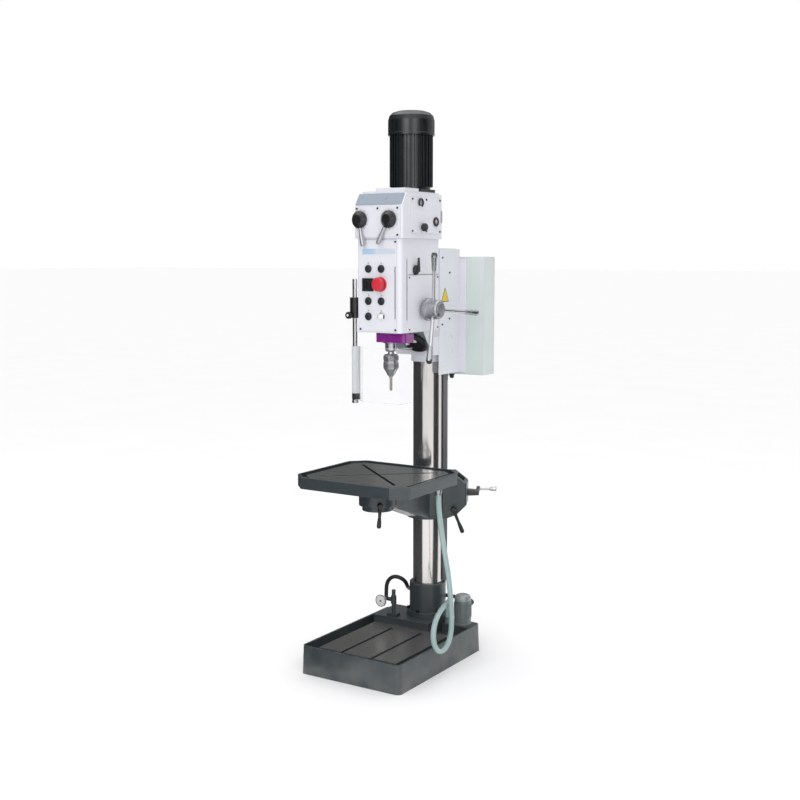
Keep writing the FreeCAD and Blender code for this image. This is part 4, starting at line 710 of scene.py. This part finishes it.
class DRILL_OT_head(Maker, bpy.types.Operator):
    """Paints the head, gearbox, panels and bracket, and adds the slanted panel and stripe"""
    bl_idname = "drill.head"
    bl_label = "Head"

    def execute(self, context):
        coat_nodes(painted("head_paint", colours().head, 0.33, 0.025, coat=0.4),
                   "gearbox_housing", "gearbox_lid", "side_covers", "cabinet_bracket", "front_panels")
        casting = painted("head_casting_paint_and_shade", colours().head, 0.33, 0.025, coat=0.4)
        # Faces that look down at the underside of the head are painted a darker grey-green: painted shade under
        # the head.
        underside_shade = casting.times(casting.span(casting.facing("Z"), -0.2, -0.4),
                              casting.span(casting.along("Z"), HEAD_UNDERSIDE_Z - 0.01, HEAD_UNDERSIDE_Z))
        two_tone(casting, underside_shade, (0.20, 0.24, 0.25))
        coat_nodes(casting, "head_casting")
        coat_nodes(painted("collar_paint", colours().collar, 0.25, 0.05, coat=0.6), "quill_collar")
        self.slanted_panel()

        stripe = Finish("stripe_film", 0.4)
        fade = stripe.times(stripe.span(stripe.along("X"), -0.035, -0.01),
                            stripe.span(stripe.noise(60.0), 0.2, 0.8, 0.8, 1.0))
        stripe.paint(stripe.mixed(fade, colours().stripe, (0.60, 0.65, 0.72)))
        solid("panel_stripe", "machine", stripe,
              slab(rect_front(-0.083, 0.080, 1.774, 1.797, PANEL_Y + 0.0001), 0.0006, FRONT, 0.003), 0)

        seam = plastic("dark_seam", (0.03, 0.03, 0.035), 0.5)
        solid("depth_scale_slot", "machine", seam,
              slab(rect_front(0.0772, 0.0808, 1.508, 1.724, PANEL_Y + 0.004), 0.0035, FRONT), 0)
        solid("side_seam", "machine", seam,
              slab(rect_side(-0.0625, -0.0595, 1.501, 1.756, SEAM_X), 0.0012, RIGHT), 0)
        solid("cover_ledge", "machine", seam,
              slab(rect_side(-0.050, 0.186, 1.6882, 1.6898, SEAM_X), 0.003, RIGHT), 0)
        return {"FINISHED"}

    def slanted_panel(self):
        """The dark panel on the slope between the gearbox's front and its top."""
        finish = painted("slanted_panel", colours().slant, 0.3, 0.04)
        margin, sunk, thickness = 0.002, 0.0004, 0.0016
        slope = Vector((0, 0.033, 0.052)).normalized()
        outward = Vector((0, -0.052, 0.033)).normalized()
        low = Vector((0, -0.114, 1.974)) + slope * margin - outward * sunk
        high = Vector((0, -0.081, 2.026)) - slope * margin - outward * sunk
        left, right = BOX_LOW.x + 0.005, BOX_HIGH.x - 0.006
        solid("slanted_panel", "machine", finish,
              slab([(left, low.y, low.z), (right, low.y, low.z), (right, high.y, high.z),
                    (left, high.y, high.z)], thickness, outward, 0.006), 0)


class DRILL_OT_controls(Maker, bpy.types.Operator):
    """Finishes the dials, buttons and switches, and adds their rings and marks"""
    bl_idname = "drill.controls"
    bl_label = "Controls"

    def execute(self, context):
        coat_nodes(plastic("black_moulding", (0.012, 0.012, 0.014), 0.32),
                   "switch_knob", "feed_selector", "cover_knob", "guard_knob", "guard_bracket")
        for side, x in DIAL_X.items():
            self.dial(side, x)
        coat_nodes(plastic("dark_buttons", (0.02, 0.024, 0.034), 0.22), *["button_%d" % i for i in range(1, 6)])
        coat_nodes(plastic("stop_red", colours().stop, 0.2), "stop_button")
        bezel = plastic("bezel_black", (0.02, 0.02, 0.024), 0.3)
        lens = bezel.times(bezel.span(bezel.along("Z"), INDICATOR_TOP, INDICATOR_TOP - 0.001),
                           bezel.band("X", INDICATOR_X))
        two_tone(bezel, lens, (0.85, 0.85, 0.84))
        coat_nodes(bezel, "panel_bezels")

        solid("stop_plate", "machine", plastic("stop_plate_red", scaled(colours().stop, 1.15), 0.35),
              lathe([(0, 0), (0.0305, 0), (0.0305, 0.0012), (0.029, 0.0018), (0, 0.0018)],
                    aim((STOP_X, PANEL_Y, STOP_Z), FRONT)))
        grey = plastic("mark_grey", (0.10, 0.10, 0.12), 0.5)
        places = [(x, PANEL_Y - 0.0003, z) for z in BUTTON_Z for x in BUTTON_X]
        grown("button_marks", "machine", grey, studs_tree(),
              {"Radius": 0.0022, "Height": 0.0006, "Top Share": 1.0, "Turn": (math.radians(90), 0, 0)}, places)
        ticks = ring_tree()
        for side, x in DIAL_X.items():
            ring(side + "_dial_ticks", "machine", grey, ticks, 12, 0.0405, (0.005, 0.0012, 0.0004),
                 aim((x, UPPER_PANEL_Y - 0.0001, DIAL_Z), FRONT))
        return {"FINISHED"}

    def dial(self, side, x):
        """A black dial whose lever, past the dial's rim, is bright metal."""
        dial = plastic("dial_moulding_" + side, (0.012, 0.012, 0.014), 0.3)
        flat = dial.add("ShaderNodeVectorMath", {0: dial.place, 1: (1, 0, 1)}, operation="MULTIPLY").outputs[0]
        reach = dial.add("ShaderNodeVectorMath", {0: flat, 1: (x, 0, DIAL_Z)}, operation="DISTANCE")
        lever = dial.span(reach.outputs["Value"], DIAL_RADIUS, DIAL_RADIUS + 0.0004)
        two_tone(dial, lever, (0.50, 0.50, 0.53), 0.75, 0.3)
        coat_nodes(dial, "selector_" + side)


class DRILL_OT_gearbox_side(Maker, bpy.types.Operator):
    """Adds the oil sight, lifting hook and plates on the gearbox side"""
    bl_idname = "drill.gearbox_side"
    bl_label = "Gearbox side"

    def execute(self, context):
        sight = aim((COVER_X, SIGHT_Y, SIGHT_Z), RIGHT)
        solid("sight_ring", "machine", plastic("sight_black", (0.014, 0.014, 0.016), 0.3),
              lathe([(0.0115, 0.0005), (0.0195, 0), (0.0205, 0.004), (0.018, 0.007), (0.0125, 0.007),
                     (0.0115, 0.0005)], sight))
        glass = Finish("sight_glass", 0.08)
        level = glass.span(glass.along("Z"), OIL_LEVEL_Z, OIL_LEVEL_Z + 0.001)
        glass.paint(glass.mixed(level, (0.32, 0.20, 0.05), (0.42, 0.45, 0.46)))
        glass.set(Coat_Weight=1.0)
        solid("sight_glass", "machine", glass,
              lathe([(0, 0.0002), (0.0118, 0.0002), (0.0118, 0.0035), (0.008, 0.0048), (0, 0.0052)], sight))
        solid("lift_hook", "machine", plastic("hook_black", (0.015, 0.015, 0.016), 0.3), self.hook, 40)
        solid("oil_plate", "machine", painted("side_plate", (0.30, 0.33, 0.37), 0.4),
              slab(rect_side(0.186, 0.204, 1.908, 1.958, BOX_HIGH.x - 0.0002), 0.0012, RIGHT, 0.002), 0)
        film = Finish("blank_sign", 0.35)
        film.paint(film.mixed(film.noise(40.0), (0.72, 0.50, 0.02), (0.82, 0.60, 0.04)))
        edge = plastic("sign_border", (0.03, 0.03, 0.03), 0.4)
        for name, finish, front, back, low, high, thickness, rounding in (
                ("blank_sign", film, 0.236, 0.292, 1.571, 1.626, 0.0008, 0.004),
                ("sign_border", edge, 0.231, 0.297, 1.568, 1.633, 0.0004, 0.005)):
            solid(name, "machine", finish,
                  slab([(SIGN_X, front, low), (SIGN_X, back, low), (SIGN_X, 0.264, high)], thickness, RIGHT,
                       rounding), 0)
        return {"FINISHED"}

    def hook(self, work):
        """An open ring of round bar standing off the cover."""
        steps, around, radius, bar, stand_off = 22, 10, 0.015, 0.0042, 0.006
        first, sweep = -60, 290
        loops = []
        for i in range(steps + 1):
            angle = math.radians(first + sweep * i / steps)
            outward = Vector((0, math.cos(angle), math.sin(angle)))
            middle = Vector((COVER_X + stand_off, HOOK_Y, HOOK_Z)) + outward * radius
            turns = [math.tau * k / around for k in range(around)]
            loops.append([work.verts.new(middle + outward * bar * math.cos(turn)
                                         + Vector((bar * math.sin(turn), 0, 0))) for turn in turns])
        for a, b in zip(loops, loops[1:]):
            for k in range(around):
                j = (k + 1) % around
                work.faces.new((a[k], a[j], b[j], b[k]))
        work.faces.new(loops[0][::-1])
        work.faces.new(loops[-1])


class DRILL_OT_motor(Maker, bpy.types.Operator):
    """Paints the motor and adds the vents and ribs round its fan cover"""
    bl_idname = "drill.motor"
    bl_label = "Motor"

    def execute(self, context):
        paint = painted("motor_paint", colours().motor, 0.34, 0.3, coat=0.35)
        coat_nodes(paint, "motor_housing", "fan_cover")
        low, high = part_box("fan_cover")
        middle = middle_of("fan_cover")
        dark = plastic("vent_dark", (0.002, 0.002, 0.002), 0.7)
        blocks = ring_tree()
        for name, radius, drop, lean in (("vents_outer", 0.0865, 0.0165, 0.85),
                                         ("vents_inner", 0.066, 0.0055, 0.28)):
            ring(name, "machine", dark, blocks, sizes().vents, radius, (0.013, 0.0042, 0.0016),
                 Matrix.Translation((middle.x, middle.y, high.z - drop)), lean)
        ring("cover_ribs", "machine", paint, blocks, 24, 0.0985, (0.002, 0.004, 0.050),
             Matrix.Translation((middle.x, middle.y, low.z + 0.038)))
        return {"FINISHED"}


class DRILL_OT_feed(Maker, bpy.types.Operator):
    """Adds the feed dial, the hub cap and the end caps of the grips"""
    bl_idname = "drill.feed"
    bl_label = "Feed handles"

    SPOKES, FIRST_SPOKE, SPOKE_LEAN = 3, -95, 15  # how many, and degrees

    def execute(self, context):
        low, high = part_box("feed_hub")
        centre = middle_of("feed_hub")
        dark = plastic("cap_black", (0.02, 0.022, 0.024), 0.35)
        for i in range(self.SPOKES):
            turn = (Matrix.Rotation(math.radians(360 / self.SPOKES * i + self.FIRST_SPOKE), 4, "X")
                    @ Matrix.Rotation(math.radians(self.SPOKE_LEAN), 4, "Y"))
            solid("grip_cap_%d" % (i + 1), "feed_wheel", dark,
                  lathe([(0, 0.2645), (0.0112, 0.2645), (0.0112, 0.2662), (0.0085, 0.2678), (0, 0.2684)],
                        Matrix.Translation(centre) @ turn, 32))
        ring("dial_ticks", "feed_wheel", dark, ring_tree(), sizes().ticks, 0.0480, (0.0006, 0.0009, 0.007),
             aim((low.x + 0.0115, centre.y, centre.z), RIGHT))
        solid("hub_cap", "feed_wheel", metal("hub_cap", (0.26, 0.27, 0.29), 0.3, grain=90.0),
              lathe([(0, -0.001), (0.031, -0.001), (0.031, 0.002), (0.027, 0.006), (0.010, 0.008), (0, 0.0085)],
                    aim((high.x, centre.y, centre.z), RIGHT)))
        return {"FINISHED"}


class DRILL_OT_chuck(Maker, bpy.types.Operator):
    """Adds the ridges round the chuck sleeve"""
    bl_idname = "drill.chuck"
    bl_label = "Chuck"

    def execute(self, context):
        ridge = metal("ridge_steel", (0.10, 0.10, 0.105), 0.4, grain=90.0)
        blocks = ring_tree()
        for name, z, height in (("low_ridges", 1.306, 0.020), ("high_ridges", 1.336, 0.016)):
            ring(name, "spindle_body", ridge, blocks, sizes().knurls, 0.0319, (0.0014, 0.0022, height),
                 Matrix.Translation((0, SPINDLE_Y, z)))
        return {"FINISHED"}


class DRILL_OT_guard(Maker, bpy.types.Operator):
    """Makes the chip guard clear, with bright cut edges"""
    bl_idname = "drill.guard"
    bl_label = "Chip guard"

    def execute(self, context):
        clear = Finish("clear_sheet", 0.06)
        clear.paint(clear.mixed(clear.noise(20.0), (0.80, 0.84, 0.90), (0.88, 0.90, 0.94)))
        slant = clear.add("ShaderNodeLayerWeight", {"Blend": 0.25}).outputs["Facing"]
        low, high = GUARD_SHEET_Z
        rim = clear.plus(clear.span(clear.along("Z"), low, low - 0.001),
                         clear.span(clear.along("Z"), high, high + 0.001))
        alpha = clear.plus(clear.span(slant, 0.2, 0.95, 0.045, 0.4), clear.times(rim, 0.35))
        clear.feed(clear.shader.inputs["Alpha"], alpha)
        coat_nodes(clear, "guard_shield")

        middle = middle_of("guard_knob")
        middle.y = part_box("guard_knob")[0].y
        solid("guard_knob_inlay", "guard_clamp", plastic("knob_inlay", (0.70, 0.70, 0.70), 0.35),
              lathe([(0, -0.0005), (0.0055, -0.0005), (0.0055, 0.0010), (0.004, 0.0016), (0, 0.0018)],
                    aim(middle, FRONT), 32))
        channel = plastic("guard_channel", (0.62, 0.63, 0.65), 0.3)
        two_tone(channel, channel.span(channel.along("Z"), GUARD_CAP_Z, GUARD_CAP_Z - 0.001),
                 (0.012, 0.012, 0.014))
        coat_nodes(channel, "guard_post")
        return {"FINISHED"}


class DRILL_OT_lamp(Maker, bpy.types.Operator):
    """Finishes the work lamp and adds its rim and glass"""
    bl_idname = "drill.lamp"
    bl_label = "Work lamp"

    def execute(self, context):
        coat_nodes(plastic("lamp_black", (0.006, 0.006, 0.007), 0.35), "work_lamp")
        warm = Finish("lamp_glass", 0.25)
        warm.paint(warm.mixed(warm.noise(50.0), (0.62, 0.50, 0.42), (0.80, 0.70, 0.60)))
        warm.set(Emission_Color=(0.9, 0.72, 0.6, 1), Emission_Strength=0.15)
        facing, along = Vector(LAMP_FACING), Vector(RIGHT)
        across = along.cross(facing)
        front = middle_of("work_lamp") + facing * 0.0088
        left, right, low, high = -0.026, 0.022, -0.030, -0.014
        corners = [front + along * x + across * y
                   for x, y in ((left, low), (right, low), (right, high), (left, high))]
        solid("lamp_glass", "machine", warm, slab(corners, 0.0015, facing, 0.005), 0)
        solid("lamp_rim", "machine", metal("lamp_rim", (0.10, 0.10, 0.10), 0.3, grain=90.0),
              lathe([(0.044, 0), (0.050, 0), (0.050, 0.0015), (0.0455, 0.0025), (0.044, 0)],
                    aim(front, facing)))
        return {"FINISHED"}


class DRILL_OT_cabinet(Maker, bpy.types.Operator):
    """Paints the electrical cabinet and adds its hinges, lock and cable glands"""
    bl_idname = "drill.cabinet"
    bl_label = "Cabinet"

    def execute(self, context):
        coat_nodes(painted("cabinet_paint", colours().cabinet, 0.4, 0.02), "cabinet", "cabinet_door")
        low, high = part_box("cabinet_door")
        steel = metal("hinge_steel", (0.45, 0.45, 0.46), 0.3, grain=90.0)
        for index, z in enumerate((low.z + 0.07, high.z - 0.13)):
            solid("door_hinge_%d" % (index + 1), "machine", steel,
                  lathe([(0, 0), (0.006, 0), (0.007, 0.001), (0.007, 0.059), (0.006, 0.06), (0, 0.06)],
                        aim((low.x - 0.004, low.y - 0.006, z), UP), 24))
        solid("door_lock", "door", plastic("lock_black", (0.02, 0.02, 0.022), 0.35),
              lathe([(0, 0), (0.014, 0), (0.014, 0.004), (0.011, 0.007), (0.004, 0.007), (0.004, 0.004),
                     (0, 0.004)], aim((high.x - 0.035, high.y, (low.z + high.z) / 2), BACK), 32))
        solid("cable_glands", "machine", plastic("gland_black", (0.02, 0.02, 0.022), 0.4), self.glands)
        return {"FINISHED"}

    def glands(self, work):
        """Short sockets under the cabinet that its cables would enter by."""
        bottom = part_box("cabinet")[0].z
        for x in GLAND_X:
            lathe([(0, 0), (0.013, 0), (0.013, 0.010), (0.010, 0.012), (0.010, 0.020), (0.007, 0.024),
                   (0, 0.024)], aim((x, GLAND_Y, bottom), DOWN), 12)(work)


class DRILL_OT_arm(Maker, bpy.types.Operator):
    """Finishes the crank and clamp levers"""
    bl_idname = "drill.arm"
    bl_label = "Crank and clamps"

    def execute(self, context):
        coat_nodes(painted("black_iron", (0.02, 0.02, 0.022), 0.35, 0.2), "crank")
        coat_nodes(plastic("lever_black", (0.015, 0.015, 0.016), 0.3), "table_clamp", "column_clamp")
        return {"FINISHED"}


class DRILL_OT_coolant(Maker, bpy.types.Operator):
    """Finishes the pump and tap, and adds the tap's dial face and the pump's cooling ribs"""
    bl_idname = "drill.coolant"
    bl_label = "Coolant"

    def execute(self, context):
        pump = painted("pump_paint", (0.13, 0.155, 0.16), 0.4, 0.15, wear=0.3)
        lid = pump.span(pump.along("Z"), PUMP_LID_Z, PUMP_LID_Z + 0.001)
        two_tone(pump, lid, (0.30, 0.33, 0.33), 0.3, 0.35)
        coat_nodes(pump, "coolant_pump")
        coat_nodes(painted("stand_grey", (0.045, 0.055, 0.055), 0.36, 0.2), "coolant_stand")
        coat_nodes(plastic("dial_white", (0.80, 0.80, 0.78), 0.3), "coolant_knob")
        centre = middle_of("coolant_knob")
        centre.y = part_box("coolant_knob")[0].y
        face = aim(centre, FRONT)
        black = plastic("tap_black", (0.015, 0.015, 0.016), 0.3)
        solid("tap_centre", "coolant_tap", black,
              lathe([(0, -0.0005), (0.0035, -0.0005), (0.0035, 0.003), (0.002, 0.004), (0, 0.004)], face, 32))
        solid("tap_rim", "coolant_tap", black,
              lathe([(0.0250, 0.0002), (0.0268, -0.003), (0.0275, 0.0), (0.0268, 0.001), (0.0255, 0.001),
                     (0.0250, 0.0002)], face, 48))
        blocks = ring_tree()
        ring("tap_ticks", "coolant_tap", black, blocks, 10, 0.0205, (0.003, 0.0006, 0.0006), face)
        ring("pump_ribs", "machine", pump, blocks, 20, 0.0385, (0.003, 0.003, 0.062),
             Matrix.Translation((PUMP_X, PUMP_Y, PUMP_RIB_Z)))
        return {"FINISHED"}


OPERATORS = (DRILL_OT_stage, DRILL_OT_hoses, DRILL_OT_castings, DRILL_OT_steel, DRILL_OT_head,
             DRILL_OT_controls, DRILL_OT_gearbox_side, DRILL_OT_motor, DRILL_OT_feed, DRILL_OT_chuck,
             DRILL_OT_guard, DRILL_OT_lamp, DRILL_OT_cabinet, DRILL_OT_arm, DRILL_OT_coolant)


class DRILL_PT_panel(bpy.types.Panel):
    """Lists the sizes, the colours and the operators in the sidebar"""
    bl_label = "Drill"
    bl_space_type = "VIEW_3D"
    bl_region_type = "UI"
    bl_category = "Drill"

    def draw(self, context):
        layout = self.layout
        for group in (context.scene.drill_colours, context.scene.drill_sizes):
            box = layout.box()
            for name in group.__annotations__:
                box.prop(group, name)
        for operator in OPERATORS:
            layout.operator(operator.bl_idname)


CLASSES = (DrillColours, DrillSizes, *OPERATORS, DRILL_PT_panel)


def register():
    for item in CLASSES:
        bpy.utils.register_class(item)
    bpy.types.Scene.drill_colours = PointerProperty(type=DrillColours)
    bpy.types.Scene.drill_sizes = PointerProperty(type=DrillSizes)


def unregister():
    del bpy.types.Scene.drill_sizes
    del bpy.types.Scene.drill_colours
    for item in reversed(CLASSES):
        bpy.utils.unregister_class(item)


def main():
    register()
    for operator in OPERATORS:
        group, name = operator.bl_idname.split(".")
        getattr(getattr(bpy.ops, group), name)()


if __name__ == "__main__":
    main()
